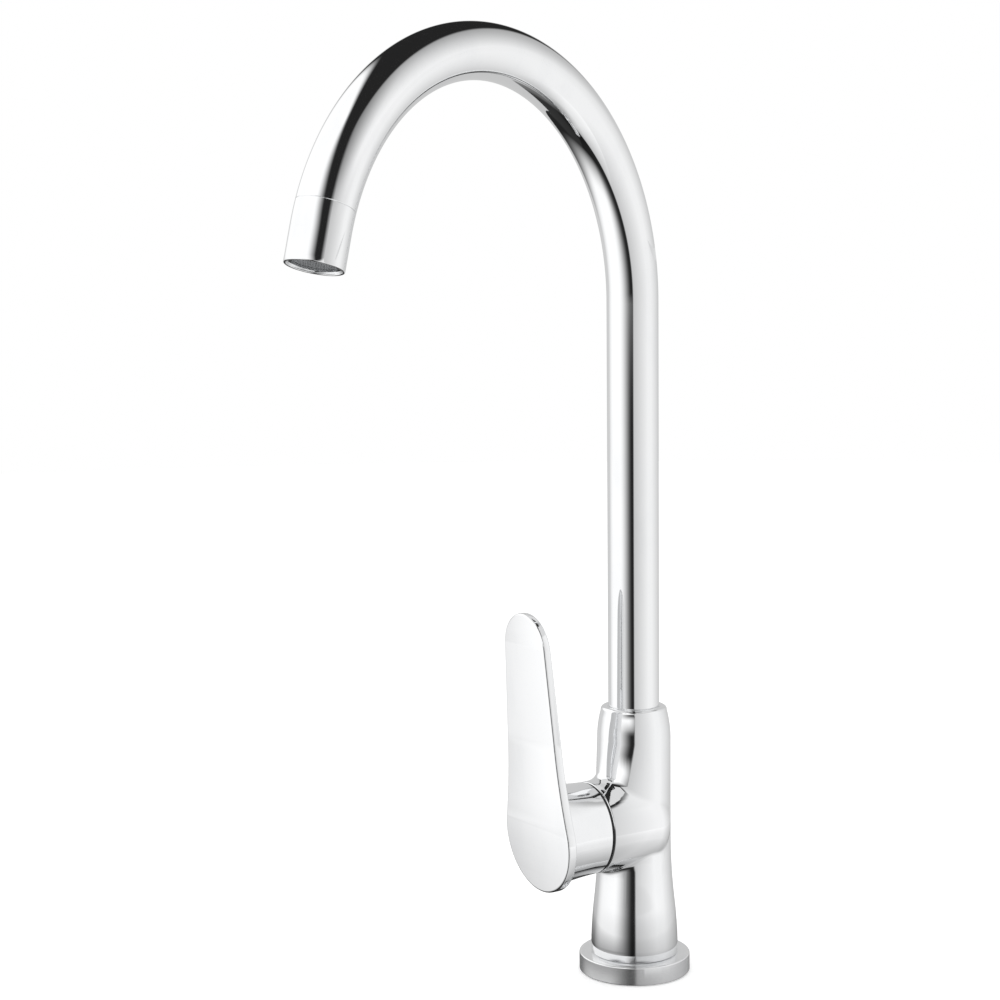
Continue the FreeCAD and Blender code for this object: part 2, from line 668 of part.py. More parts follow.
def plate():
    """Paddle: its outline between a leaning front face and a back face that thins towards the tip."""
    lean = math.tan(math.radians(PLATE_LEAN))
    low = -PLATE_FOOT_R - PAST
    high = PLATE_TOP + PAST
    thinning = (PLATE_THICK - PLATE_TIP_THICK) / PLATE_TOP
    front = [Vector(0, y, PLATE_OUT + y * lean) for y in (low, high)]
    back = [Vector(0, y, PLATE_OUT - PLATE_THICK + y * (lean + thinning)) for y in (high, low)]
    slab = Part.Face(Part.makePolygon(front + back + front[:1]))
    slab.translate(Vector(low, 0, 0))
    slab = slab.extrude(Vector(-2 * low, 0, 0))
    prism = plate_outline().extrude(Vector(0, 0, 2 * PLATE_OUT))
    paddle = slab.common(prism)
    rims = [edge for edge in paddle.Edges if not is_side(edge)]
    return paddle.makeFillet(min(PLATE_ROUND, PLATE_TIP_THICK / 2 - FREE_GAP), rims)


def is_side(edge):
    """True for the short edges that run through the paddle's thickness."""
    start, end = edge.Vertexes[0].Point, edge.Vertexes[-1].Point
    return abs(start.x - end.x) < SAME and abs(start.y - end.y) < SAME


def hub():
    """Hollow hub between the barrel's gap and the paddle, with a boss for the stem."""
    front = PLATE_OUT - PLATE_THICK / 2
    waist_z = (HUB_BACK + front) / 2
    shell = turned((0, HUB_BACK), (BARREL_R, HUB_BACK), ((HUB_WAIST_R, waist_z), (HUB_FRONT_R, front)),
                   (0, front))
    cavity = ring(BOSS_R, BARREL_R - HUB_WALL, HUB_BACK, HUB_CAVITY_FRONT)
    swing = Part.makeSphere(HUB_CAVITY_R, Vector(0, 0, PIVOT_OUT))
    return shell.cut([cavity, swing])


def grub_line(inner, outer, radius):
    """Rod down through the hub's underside, between two distances from the barrel's axis."""
    return rod(radius, Vector(0, -inner, GRUB_OUT), Vector(0, -outer, GRUB_OUT))


def lever():
    """Hub and paddle in one casting, bored for the stem and its grub screw."""
    body = plate().fuse(hub())
    half = STEM_SIDE / 2 + SEAT_GAP
    socket = block((-half, half), (-half, half), (0, STEM_FRONT + SEAT_GAP))
    hole = grub_line(STEM_SIDE / 2, PLATE_FOOT_R, GRUB_R + THREAD_GAP)
    return on_barrel(body.cut([socket, hole]))


def lever_grub_screw():
    """Grub screw in the boss that holds the lever on its stem."""
    inner = STEM_SIDE / 2 + SEAT_GAP
    screw = grub_line(inner, inner + GRUB_LENGTH, GRUB_R)
    key = hex_rod(GRUB_KEY_AF, 0, GRUB_KEY_AF)
    end = Vector(0, -inner - GRUB_LENGTH, GRUB_OUT)
    return on_barrel(screw.cut(moved(key, Placement(end, Rotation(X_AXIS, -90)))))


def grub_screw_cap():
    """Small plug that closes the grub screw's hole in the hub."""
    share = (GRUB_OUT - HUB_BACK) / (PLATE_OUT - HUB_BACK)
    outer = BARREL_R + (HUB_FRONT_R - BARREL_R) * share - FREE_GAP
    return on_barrel(grub_line(outer - CAP_THICK, outer, GRUB_R))


def spout_tube():
    """Swan-neck tube, from its foot in the neck to the outlet sleeve."""
    inner = TUBE_R - TUBE_WALL
    riser = ring(inner, TUBE_R, TUBE_FOOT_Z, RISE_Z)
    return riser.fuse(bend(TUBE_R, inner, 0, seam_angle())).removeSplitter()


def outlet_sleeve():
    """Outlet end of the spout: bent sleeve with a tail inside the tube."""
    inner = TUBE_R - SLEEVE_WALL
    seam = seam_angle()
    tail_r = TUBE_R - TUBE_WALL - SEAT_GAP
    straight = at_outlet(ring(inner, TUBE_R, -OUTLET_STRAIGHT, 0))
    sleeve = straight.fuse(bend(TUBE_R, inner, seam, BEND_SWEEP))
    tail_start = seam - arch_angle(SLEEVE_TAIL)
    tail = bend(tail_r, tail_r - SLEEVE_TAIL_WALL, tail_start, seam + arch_angle(TUBE_WALL))
    return sleeve.fuse(tail).removeSplitter()


def spout_stem():
    """Brass stem soldered in the tube's foot, grooved for its rings and the lock screw."""
    top = TUBE_FOOT_Z + STEM_IN_TUBE
    shank_r = TUBE_R - TUBE_WALL - SEAT_GAP
    body = turned((STEM_BORE_R, SPOUT_STEM_Z), (STEM_R, SPOUT_STEM_Z), (STEM_R, TUBE_FOOT_Z),
                  (shank_r, TUBE_FOOT_Z), (shank_r, top), (STEM_BORE_R, top))
    seat_r = SOCKET_R - RUN_GAP - SLIP_DEPTH
    grooves = [ring(seat_r, SOCKET_R, z, z + SLIP_HEIGHT) for z in (LOWER_SLIP_Z, UPPER_SLIP_Z)]
    ring_seat_r = SOCKET_R - RUN_GAP - 2 * O_RING_WIRE_R
    for z in (FIRST_O_RING_Z, SECOND_O_RING_Z):
        grooves.append(ring(ring_seat_r, SOCKET_R, z - O_RING_GROOVE / 2, z + O_RING_GROOVE / 2))
    half = RETAIN_WIDTH / 2
    grooves.append(ring(STEM_R - RETAIN_DEPTH, SOCKET_R, RETAIN_Z - half, RETAIN_Z + half))
    return body.cut(grooves)


def slip_ring(z):
    """Plastic bearing ring of the spout's stem."""
    outer = SOCKET_R - RUN_GAP
    return ring(outer - SLIP_DEPTH + SEAT_GAP, outer, z, z + SLIP_HEIGHT)


def spout_o_rings():
    """The stem's two rubber rings and the small one on the filtered-water nipple."""
    outer = SOCKET_R - RUN_GAP
    rings = [o_ring(O_RING_WIRE_R, O_RING_CORNER, outer, z) for z in (FIRST_O_RING_Z, SECOND_O_RING_Z)]
    rings.append(o_ring(NIPPLE_RING_R, NIPPLE_RING_R / 2, NIPPLE_R, SOCKET_FLOOR_Z - NIPPLE_REACH / 2))
    return Part.makeCompound(rings)


def filter_nipple():
    """Nipple on the swivel's axis that brings filtered water into its own tube, held by webs in the stem."""
    low = SOCKET_FLOOR_Z - NIPPLE_REACH
    spigot_r = FILTER_TUBE_R - FILTER_TUBE_WALL - SEAT_GAP
    top = NIPPLE_TOP_Z + NIPPLE_SPIGOT
    body = turned((NIPPLE_BORE_R, low), (NIPPLE_R, low), (NIPPLE_R, NIPPLE_TOP_Z), (spigot_r, NIPPLE_TOP_Z),
                  (spigot_r, top), (NIPPLE_BORE_R, top))
    ring_z = SOCKET_FLOOR_Z - NIPPLE_REACH / 2
    floor_r = NIPPLE_R - 2 * NIPPLE_RING_R
    groove = ring(floor_r, NIPPLE_R + PAST, ring_z - NIPPLE_RING_R, ring_z + NIPPLE_RING_R)
    webs = []
    half = WEB_THICK / 2
    for i in range(WEBS):
        web = block((NIPPLE_R - PAST, STEM_BORE_R), (-half, half), (WEB_Z, WEB_Z + WEB_HEIGHT))
        webs.append(moved(web, Placement(Vector(), Rotation(Z_AXIS, i * 360 / WEBS))))
    inside = disc(STEM_BORE_R - SEAT_GAP, low, top)
    return body.cut(groove).fuse(webs).common(inside)


def filter_water_tube():
    """Inner tube that keeps filtered water apart from mains water, along the whole spout."""
    inner = FILTER_TUBE_R - FILTER_TUBE_WALL
    riser = ring(inner, FILTER_TUBE_R, NIPPLE_TOP_Z, RISE_Z)
    return riser.fuse(bend(FILTER_TUBE_R, inner, 0, BEND_SWEEP)).removeSplitter()


def aerator_housing():
    """Threaded ring in the outlet whose lip holds the mesh."""
    outer = TUBE_R - SLEEVE_WALL - THREAD_GAP
    front = -AERATOR_RECESS
    back = front - AERATOR_LENGTH
    return at_outlet(turned((AERATOR_BORE_R, back), (outer, back), (outer, front), (AERATOR_LIP_R, front),
                            (AERATOR_LIP_R, front - AERATOR_LIP), (AERATOR_BORE_R, front - AERATOR_LIP)))


def aerator_mesh():
    """Fine steel mesh across the outlet, here as its plain disc."""
    front = -AERATOR_RECESS - AERATOR_LIP
    return at_outlet(disc(AERATOR_BORE_R - SEAT_GAP, front - MESH_THICK, front))


def aerator_insert():
    """Plastic insert with a ring of jets for mains water round the filtered-water nozzle."""
    front = -AERATOR_RECESS - AERATOR_LIP - MESH_THICK
    back = front - INSERT_LENGTH
    body = ring(NOZZLE_R + SEAT_GAP, AERATOR_BORE_R - SEAT_GAP, back, front)
    jets = []
    for i in range(INSERT_HOLES):
        turn = 2 * math.pi * i / INSERT_HOLES
        x, y = INSERT_HOLE_CIRCLE_R * math.cos(turn), INSERT_HOLE_CIRCLE_R * math.sin(turn)
        jets.append(disc(INSERT_HOLE_R, back, front, x, y))
    return at_outlet(body.cut(jets))


def aerator_washer():
    """Flat washer behind the aerator's ring."""
    front = -AERATOR_RECESS - AERATOR_LENGTH
    return at_outlet(ring(WASHER_R_IN, TUBE_R - SLEEVE_WALL - SEAT_GAP, front - WASHER_THICK, front))


def filter_nozzle():
    """Nozzle on the end of the filtered-water tube, in the middle of the aerator."""
    front = -AERATOR_RECESS - AERATOR_LIP - MESH_THICK - SEAT_GAP
    spigot_r = FILTER_TUBE_R - FILTER_TUBE_WALL - HOUSING_GAP
    back = -OUTLET_STRAIGHT
    step = back + NOZZLE_STEP
    end = back - NOZZLE_SPIGOT
    return at_outlet(turned((NOZZLE_BORE_R, front), (NOZZLE_R, front), (NOZZLE_R, step), (FILTER_TUBE_R, step),
                            (FILTER_TUBE_R, back), (spigot_r, back), (spigot_r, end), (NOZZLE_BORE_R, end)))


PIECES = {
    "body_casting": body_casting,
    "base_ring": base_ring,
    "base_seal": base_seal,
    "spout_lock_screw": lock_screw,
    "cartridge_gasket": cartridge_gasket,
    "cartridge_base": cartridge_base,
    "fixed_ceramic_disc": fixed_ceramic_disc,
    "cartridge_housing": cartridge_housing,
    "cartridge_nut": cartridge_nut,
    "dome_cover": dome_cover,
    "stem_guide": stem_guide,
    "pivot_pin": pivot_pin,
    "moving_ceramic_disc": moving_ceramic_disc,
    "disc_carrier": disc_carrier,
    "lever": lever,
    "lever_stem": stem,
    "lever_grub_screw": lever_grub_screw,
    "grub_screw_cap": grub_screw_cap,
    "spout_tube": spout_tube,
    "outlet_sleeve": outlet_sleeve,
    "spout_stem": spout_stem,
    "lower_slip_ring": lambda: slip_ring(LOWER_SLIP_Z),
    "upper_slip_ring": lambda: slip_ring(UPPER_SLIP_Z),
    "spout_o_rings": spout_o_rings,
    "filter_nipple": filter_nipple,
    "filter_water_tube": filter_water_tube,
    "aerator_housing": aerator_housing,
    "aerator_mesh": aerator_mesh,
    "aerator_insert": aerator_insert,
    "aerator_washer": aerator_washer,
    "filter_nozzle": filter_nozzle,
}


def main():
    """Writes one STEP file for each piece."""
    os.makedirs("parts", exist_ok=True)
    for node, make in PIECES.items():
        shape = make()
        shape.exportStep("parts/" + node + ".step")
        print(node, shape.isValid(), len(shape.Solids), round(shape.Volume, 1))


main()
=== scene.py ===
"""Studio picture of a swan-neck tap with one paddle lever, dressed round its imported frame.

The frame carries the construction. This script gives the tap its chrome, its smooth round
surfaces, the soft blend of its casting and its woven aerator mesh, and lights it as a plain
product picture.
Lengths are written in millimetres and turned into metres where a mesh is made.
"""

from __future__ import annotations

import json
import logging
import math
from dataclasses import dataclass
from enum import Enum
from typing import Sequence

import bmesh
import bpy
import numpy as np
from mathutils import Matrix, Vector


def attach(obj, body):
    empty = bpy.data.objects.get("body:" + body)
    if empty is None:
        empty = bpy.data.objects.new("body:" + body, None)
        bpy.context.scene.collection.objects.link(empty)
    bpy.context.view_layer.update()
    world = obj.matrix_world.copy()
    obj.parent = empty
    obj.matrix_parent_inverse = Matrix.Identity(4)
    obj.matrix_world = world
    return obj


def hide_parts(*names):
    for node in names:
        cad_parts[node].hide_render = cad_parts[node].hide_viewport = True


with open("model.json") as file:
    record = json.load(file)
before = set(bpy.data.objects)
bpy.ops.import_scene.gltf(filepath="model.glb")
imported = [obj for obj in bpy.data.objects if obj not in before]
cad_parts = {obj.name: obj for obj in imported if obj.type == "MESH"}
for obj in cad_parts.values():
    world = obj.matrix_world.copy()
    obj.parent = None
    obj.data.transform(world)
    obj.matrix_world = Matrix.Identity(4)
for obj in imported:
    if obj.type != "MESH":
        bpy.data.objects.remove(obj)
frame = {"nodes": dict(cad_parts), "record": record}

LOG = logging.getLogger("tap")
MM = 0.001
MERGE_DISTANCE = 0.000002
SHARP_DEGREES = 30.0
WHITE = (1.0, 1.0, 1.0)
WRAP_AT = -60.0
Array = np.ndarray
Span = tuple[float, float]
Triple = tuple[float, float, float]


# Shader expressions


class Expr:
    """A number or colour that flows through a node tree, on which Python arithmetic works."""

    def __init__(self, tree: Tree, socket: bpy.types.NodeSocket) -> None:
        """Args:
        tree: the node tree that new nodes go into.
        socket: the output socket that this value comes from.
        """
        self.tree = tree
        self.socket = socket

    def _math(self, operation: str, *values: Expr | float) -> Expr:
        """Adds a Math node. Args: operation: its name; values: its inputs. Returns: its output."""
        node = self.tree.node("ShaderNodeMath", {"operation": operation}, dict(enumerate(values)))
        return Expr(self.tree, node.outputs[0])

    def __add__(self, other: Expr | float) -> Expr:
        """Sum."""
        return self._math("ADD", self, other)

    __radd__ = __add__

    def __sub__(self, other: Expr | float) -> Expr:
        """Difference."""
        return self._math("SUBTRACT", self, other)

    def __rsub__(self, other: float) -> Expr:
        """Difference with the value second."""
        return self._math("SUBTRACT", other, self)

    def __mul__(self, other: Expr | float) -> Expr:
        """Product."""
        return self._math("MULTIPLY", self, other)

    __rmul__ = __mul__

    def __pow__(self, other: Expr | float) -> Expr:
        """Power."""
        return self._math("POWER", self, other)

    def absolute(self) -> Expr:
        """Value without its sign."""
        return self._math("ABSOLUTE", self)

    def above(self, edge: float) -> Expr:
        """1 where the value is over the edge, else 0."""
        return self._math("GREATER_THAN", self, edge)

    def clamp(self) -> Expr:
        """Value held between 0 and 1."""
        return self.lesser(1.0).greater(0.0)

    def lesser(self, other: Expr | float) -> Expr:
        """Smaller of two values."""
        return self._math("MINIMUM", self, other)

    def greater(self, other: Expr | float) -> Expr:
        """Larger of two values."""
        return self._math("MAXIMUM", self, other)

    def arcsine(self) -> Expr:
        """Angle in degrees whose sine is the value."""
        return self._math("DEGREES", self._math("ARCSINE", self))

    def bearing(self, other: Expr) -> Expr:
        """Angle in degrees, from the other value's axis towards this value's axis."""
        return self._math("DEGREES", self._math("ARCTAN2", self, other))

    def ramp(self, low: float, high: float) -> Expr:
        """Straight ramp from 0 at low to 1 at high."""
        return ((self - low) * (1 / (high - low))).clamp()

    def smooth(self, low: float, high: float) -> Expr:
        """Smooth step from 0 at low to 1 at high."""
        sockets = {"Value": self, "From Min": low, "From Max": high}
        node = self.tree.node("ShaderNodeMapRange", {"interpolation_type": "SMOOTHSTEP"}, sockets)
        return Expr(self.tree, node.outputs[0])

    def grown(self, low: float, high: float, share: float) -> Expr:
        """Straight rise from 1 - share at low to 1 at high."""
        return self.ramp(low, high) * share + (1 - share)

    def dimmed(self, low: float, high: float, share: float) -> Expr:
        """Straight fall from 1 at low to 1 - share at high."""
        return 1 - self.ramp(low, high) * share

    def between(self, first: Expr, second: Expr) -> Expr:
        """Value that goes from the first to the second as this one goes from 0 to 1."""
        return first * (1 - self) + second * self


class Tree:
    """Node tree of one material or of the world, with one method that adds any node."""

    def __init__(self, owner: bpy.types.Material | bpy.types.World) -> None:
        """Args:
        owner: the material or world whose tree is emptied and rebuilt.
        """
        owner.use_nodes = True
        self.nodes = owner.node_tree.nodes
        self.links = owner.node_tree.links
        self.nodes.clear()

    def node(
        self, kind: str, settings: dict | None = None, sockets: dict | None = None
    ) -> bpy.types.Node:
        """Adds a node.

        Args:
            kind: the node's type.
            settings: its settings, set first.
            sockets: input name or number to a constant, an Expr or an output socket.

        Returns:
            The node.
        """
        made = self.nodes.new(kind)
        for name, value in (settings or {}).items():
            setattr(made, name, value)
        for name, value in (sockets or {}).items():
            socket = made.inputs[name]
            if isinstance(value, Expr):
                self.links.new(value.socket, socket)
            elif isinstance(value, bpy.types.NodeSocket):
                self.links.new(value, socket)
            elif isinstance(value, tuple) and len(value) < len(socket.default_value):
                socket.default_value = (*value, 1.0)
            else:
                socket.default_value = value
        return made

    def place(self, scale: Sequence[float]) -> Expr:
        """Object coordinates, scaled. Args: scale: factor by axis. Returns: the vector."""
        source = self.node("ShaderNodeTexCoord").outputs["Object"]
        made = self.node("ShaderNodeMapping", None, {"Vector": source, "Scale": tuple(scale)})
        return Expr(self, made.outputs[0])

    def noise(self, at: Expr, scale: float, detail: float, rough: float) -> Expr:
        """Noise value.

        Args:
            at: where it is read.
            scale: lumps per metre.
            detail, rough: how many octaves, and the weight of each after the last.

        Returns:
            The value, 0 to 1.
        """
        sockets = {"Vector": at, "Scale": scale, "Detail": detail, "Roughness": rough}
        return Expr(self, self.node("ShaderNodeTexNoise", None, sockets).outputs[0])

    def mix(self, share: Expr, first: Sequence[float], second: Sequence[float]) -> Expr:
        """Colour between two colours. Args: share: 0 to 1; first, second: ends. Returns: it."""
        made = self.node("ShaderNodeMix", {"data_type": "RGBA"}, {"Factor": share})
        made.inputs[6].default_value = (*first, 1.0)
        made.inputs[7].default_value = (*second, 1.0)
        return Expr(self, made.outputs[2])

    def light_path(self, kind: str) -> Expr:
        """1 on rays of one kind, else 0. Args: kind: the output's name. Returns: the value."""
        return Expr(self, self.node("ShaderNodeLightPath").outputs[kind])

    def glow(self, level: Expr | float) -> bpy.types.NodeSocket:
        """White light given off. Args: level: its strength. Returns: the shader."""
        sockets = {"Color": WHITE, "Strength": level}
        return self.node("ShaderNodeEmission", None, sockets).outputs[0]

    def clear(self) -> bpy.types.NodeSocket:
        """Nothing at all, seen through. Returns: the shader."""
        return self.node("ShaderNodeBsdfTransparent").outputs[0]

    def blend(
        self, share: Expr | bpy.types.NodeSocket, first: bpy.types.NodeSocket,
        second: bpy.types.NodeSocket,
    ) -> bpy.types.NodeSocket:
        """Mixes two shaders.

        Args:
            share: how much of the second, 0 to 1.
            first, second: the shaders.

        Returns:
            The mixed shader.
        """
        sockets = {0: share, 1: first, 2: second}
        return self.node("ShaderNodeMixShader", None, sockets).outputs[0]

    def finish(self, shader: bpy.types.NodeSocket) -> None:
        """Links the material's output. Args: shader: what it shows."""
        self.node("ShaderNodeOutputMaterial", None, {"Surface": shader})


# Finishes


@dataclass(frozen=True)
class Finish:
    """Surface finish: a base colour that drifts a little, and a varying roughness and bump."""

    name: str
    colour: Triple
    shade: Triple
    metallic: float = 0.0
    roughness: float = 0.4
    roughness_drift: float = 0.1
    grain: float = 900.0
    stretch: Triple = (1.0, 1.0, 1.0)
    bump: float = 0.0
    bump_depth: float = 0.00002
    ior: float = 1.5
    cloud_size: float = 30.0
    cloud_edges: Span = (0.3, 0.7)

    def material(self) -> bpy.types.Material:
        """Builds the material. Returns: it."""
        made = bpy.data.materials.new(self.name)
        tree = Tree(made)
        at = tree.place(self.stretch)
        cloud = tree.noise(at, self.grain / self.cloud_size, detail=3.0, rough=0.55)
        fine = tree.noise(at, self.grain, detail=2.0, rough=0.5)
        lowest = self.roughness - self.roughness_drift / 2
        sockets = {
            "Base Color": tree.mix(cloud.smooth(*self.cloud_edges), self.colour, self.shade),
            "Metallic": self.metallic,
            "Roughness": (cloud * self.roughness_drift + lowest).clamp(),
            "IOR": self.ior,
        }
        if self.bump > 0:
            lump = {"Strength": self.bump, "Distance": self.bump_depth, "Height": fine}
            sockets["Normal"] = tree.node("ShaderNodeBump", None, lump).outputs[0]
        tree.finish(tree.node("ShaderNodeBsdfPrincipled", None, sockets).outputs[0])
        return made


@dataclass(frozen=True)
class Chrome:
    """Plated chrome: mirror-bright, with faint wiping marks that only show in its roughness."""

    name: str
    tint: Triple = (0.86, 0.865, 0.87)
    shade: Triple = (0.83, 0.836, 0.845)
    roughness: float = 0.035
    wipe: float = 0.02
    wipe_scale: float = 60.0
    speckle_scale: float = 1800.0
    metallic: float = 1.0
    stretch: Triple = (1.0, 1.0, 0.45)
    smear_edges: Span = (0.45, 0.75)
    speck_edges: Span = (0.68, 0.8)

    def material(self) -> bpy.types.Material:
        """Builds the material. Returns: it."""
        made = bpy.data.materials.new(self.name)
        tree = Tree(made)
        at = tree.place(self.stretch)
        smears = tree.noise(at, self.wipe_scale, detail=4.0, rough=0.6)
        smears = smears.smooth(*self.smear_edges)
        specks = tree.noise(at, self.speckle_scale, detail=1.0, rough=0.5)
        specks = specks.smooth(*self.speck_edges)
        rough = (smears * self.wipe + specks * (self.wipe / 2) + self.roughness).clamp()
        sockets = {
            "Base Color": tree.mix(smears, self.tint, self.shade),
            "Metallic": self.metallic,
            "Roughness": rough,
        }
        tree.finish(tree.node("ShaderNodeBsdfPrincipled", None, sockets).outputs[0])
        return made


class Slot(Enum):
    """Material slots of the record, with the finish that each takes."""

    POLISHED_CHROME = Chrome("polished_chrome")
    CAST_CHROME = Chrome(
        "cast_chrome", (0.88, 0.885, 0.892), (0.85, 0.857, 0.866), 0.05, 0.03, 45.0)
    BASE_CHROME = Chrome(
        "base_chrome", (0.84, 0.845, 0.85), (0.79, 0.795, 0.805), 0.16, 0.05, metallic=0.88)
    CAP_CHROME = Chrome(
        "cap_chrome", (0.84, 0.845, 0.85), (0.8, 0.805, 0.81), 0.06, 0.03)
    BLACK_PLASTIC = Finish(
        "black_plastic", (0.012, 0.012, 0.013), (0.02, 0.02, 0.021),
        0.0, 0.42, 0.12, 2500.0, bump=0.15)
    BLACK_RUBBER = Finish(
        "black_rubber", (0.016, 0.016, 0.016), (0.026, 0.025, 0.024),
        0.0, 0.72, 0.15, 3000.0, bump=0.25)
    WHITE_ACETAL = Finish(
        "white_acetal", (0.79, 0.79, 0.77), (0.73, 0.73, 0.7),
        0.0, 0.36, 0.1, 1500.0, bump=0.05)
    WHITE_CERAMIC = Finish(
        "white_ceramic", (0.84, 0.83, 0.79), (0.8, 0.78, 0.73),
        0.0, 0.12, 0.06, 4000.0, ior=1.75)
    RAW_BRASS = Finish(
        "raw_brass", (0.78, 0.58, 0.28), (0.66, 0.46, 0.2),
        1.0, 0.28, 0.12, 1200.0, (1.0, 1.0, 12.0), 0.2)
    PLAIN_STEEL = Finish(
        "plain_steel", (0.58, 0.58, 0.59), (0.47, 0.47, 0.48),
        1.0, 0.3, 0.12, 1600.0, (1.0, 1.0, 10.0), 0.2)
    STEEL_MESH = Finish(
        "steel_mesh", (0.42, 0.43, 0.44), (0.3, 0.31, 0.32), 1.0, 0.34, 0.1, 2600.0)
    GREY_PLASTIC = Finish(
        "grey_plastic", (0.46, 0.47, 0.48), (0.38, 0.39, 0.4),
        0.0, 0.45, 0.12, 1800.0, bump=0.1)
    CLEAR_TUBING = Finish(
        "clear_tubing", (0.8, 0.82, 0.83), (0.74, 0.77, 0.78), 0.0, 0.25, 0.08, 900.0)

    @property
    def slot(self) -> str:
        """Name of the slot in the record."""
        return self.value.name


class Wardrobe:
    """The tap's materials, each made once."""

    def __init__(self) -> None:
        """Makes every slot's material."""
        self.made = {entry.slot: entry.value.material() for entry in Slot}

    def dress(self, piece: bpy.types.Object, slot: str) -> None:
        """Gives a piece one material. Args: piece: the object; slot: the record's slot name."""
        piece.data.materials.clear()
        piece.data.materials.append(self.made[slot])


# Meshes worked out as grids


def link_mesh(name: str, mesh: bpy.types.Mesh) -> bpy.types.Object:
    """Puts a mesh into the scene. Args: name: the object's name; mesh: it. Returns: the object."""
    made = bpy.data.objects.new(name, mesh)
    bpy.context.scene.collection.objects.link(made)
    return made


def flat_mesh(name: str, points: Array, faces: Array) -> bpy.types.Mesh:
    """Mesh with flat faces. Args: name: its name; points: in mm; faces: numbers. Returns: it."""
    mesh = bpy.data.meshes.new(name)
    mesh.from_pydata((points * MM).tolist(), [], faces.tolist())
    return mesh


def smooth_faces(mesh: bpy.types.Mesh) -> None:
    """Gives every face smooth shading. Args: mesh: the mesh, changed in place."""
    mesh.polygons.foreach_set("use_smooth", np.ones(len(mesh.polygons), bool))


def add_mesh(
    name: str, points: Array, faces: Array, sharp_degrees: float = 32.0
) -> bpy.types.Object:
    """Puts points and four-sided faces into a new smooth object at the origin.

    Args:
        name: the piece's name.
        points: (n, 3) places in millimetres.
        faces: (m, 4) point numbers.
        sharp_degrees: edges over this angle stay sharp in the smooth shading.

    Returns:
        The object.
    """
    mesh = flat_mesh(name, points, faces)
    smooth_faces(mesh)
    mesh.validate()
    mesh.set_sharp_from_angle(angle=math.radians(sharp_degrees))
    return link_mesh(name, mesh)


def grid_faces(rows: int, columns: int, closed_rows: bool, closed_columns: bool) -> Array:
    """Faces of a grid of points numbered row by row.

    Each face joins point (i, j) to (i, j+1), (i+1, j+1) and (i+1, j), counted round where closed.

    Args:
        rows, columns: the grid's size.
        closed_rows, closed_columns: whether the last row or column joins the first.

    Returns:
        (m, 4) point numbers.
    """
    i = np.arange(rows if closed_rows else rows - 1)
    j = np.arange(columns if closed_columns else columns - 1)
    i, j = (part.ravel() for part in np.meshgrid(i, j, indexing="ij"))
    up, across = (i + 1) % rows, (j + 1) % columns
    row, next_row = i * columns, up * columns
    return np.stack([row + j, row + across, next_row + across, next_row + j], axis=1)


def rounded(
    corners: Sequence[Span], radii: Sequence[float], steps: int = 6
) -> Array:
    """Closed outline with round corners.

    At each corner the two sides are cut back by radius / tan(half the corner's angle), and an
    arc tangent to both joins the cuts. A radius of 0 keeps the corner.

    Args:
        corners: (k, 2) corner points in order.
        radii: one radius for each corner.
        steps: how many spans each arc has.

    Returns:
        (n, 2) points of the outline.
    """
    outline = []
    count = len(corners)
    points = np.asarray(corners, float)
    for k, radius in enumerate(radii):
        here, before, after = points[k], points[k - 1], points[(k + 1) % count]
        if radius <= 0:
            outline.append(here[None])
            continue
        to_before, to_after = before - here, after - here
        to_before /= np.linalg.norm(to_before)
        to_after /= np.linalg.norm(to_after)
        half = math.acos(float(np.clip(to_before @ to_after, -1, 1))) / 2
        start = here + to_before * radius / math.tan(half)
        end = here + to_after * radius / math.tan(half)
        bisector = (to_before + to_after) / np.linalg.norm(to_before + to_after)
        centre = here + bisector * radius / math.sin(half)
        first = math.atan2(*(start - centre)[::-1])
        sweep = (math.atan2(*(end - centre)[::-1]) - first + math.pi) % (2 * math.pi) - math.pi
        angles = first + sweep * np.linspace(0, 1, steps + 1)
        outline.append(centre + radius * np.stack([np.cos(angles), np.sin(angles)], axis=1))
    return np.concatenate(outline)


def resampled(outline: Array, longest: float) -> Array:
    """Outline with extra points on its long sides.

    Args:
        outline: (n, 2) points, closed.
        longest: the longest span allowed.

    Returns:
        (m, 2) points.
    """
    after = np.roll(outline, -1, axis=0)
    spans = np.linalg.norm(after - outline, axis=1)
    counts = np.maximum(1, np.ceil(spans / longest).astype(int))
    parts = [a + (b - a) * np.arange(n)[:, None] / n for a, b, n in zip(outline, after, counts)]
    return np.concatenate(parts)


@dataclass(frozen=True)
class SwanNeck:
    """Centreline of the spout: straight up, round the arch, and straight to the outlet."""

    rise: float
    bend_r: float
    sweep: float
    straight: float

    @property
    def length(self) -> float:
        """Whole length of the line from the worktop."""
        return self.rise + self.bend_length + self.straight

    @property
    def bend_length(self) -> float:
        """Length of the arch."""
        return self.bend_r * math.radians(self.sweep)

    def frames(self, along: Array) -> tuple[Array, Array, Array]:
        """Centres and two cross directions at distances along the line.

        The turn is (along - rise) / bend radius, held between 0 and the sweep. On the arch a
        centre is (0, R (cos t - 1), rise + R sin t); before and after it the line is straight.

        Args:
            along: distances from the worktop in millimetres.

        Returns:
            Three (n, 3) arrays.
        """
        turn = np.clip((along - self.rise) / self.bend_r, 0, math.radians(self.sweep))
        early = np.minimum(along - self.rise, 0)
        late = np.maximum(along - self.rise - self.bend_length, 0)
        zero = np.zeros_like(turn)
        heading = np.stack([zero, -np.sin(turn), np.cos(turn)], axis=1)
        back, height = self.bend_r * (np.cos(turn) - 1), self.rise + self.bend_r * np.sin(turn)
        centres = np.stack([zero, back, height], axis=1)
        centres += heading * (early + late)[:, None]
        across = np.stack([zero + 1, zero, zero], axis=1)
        return centres, across, np.cross(heading, across)


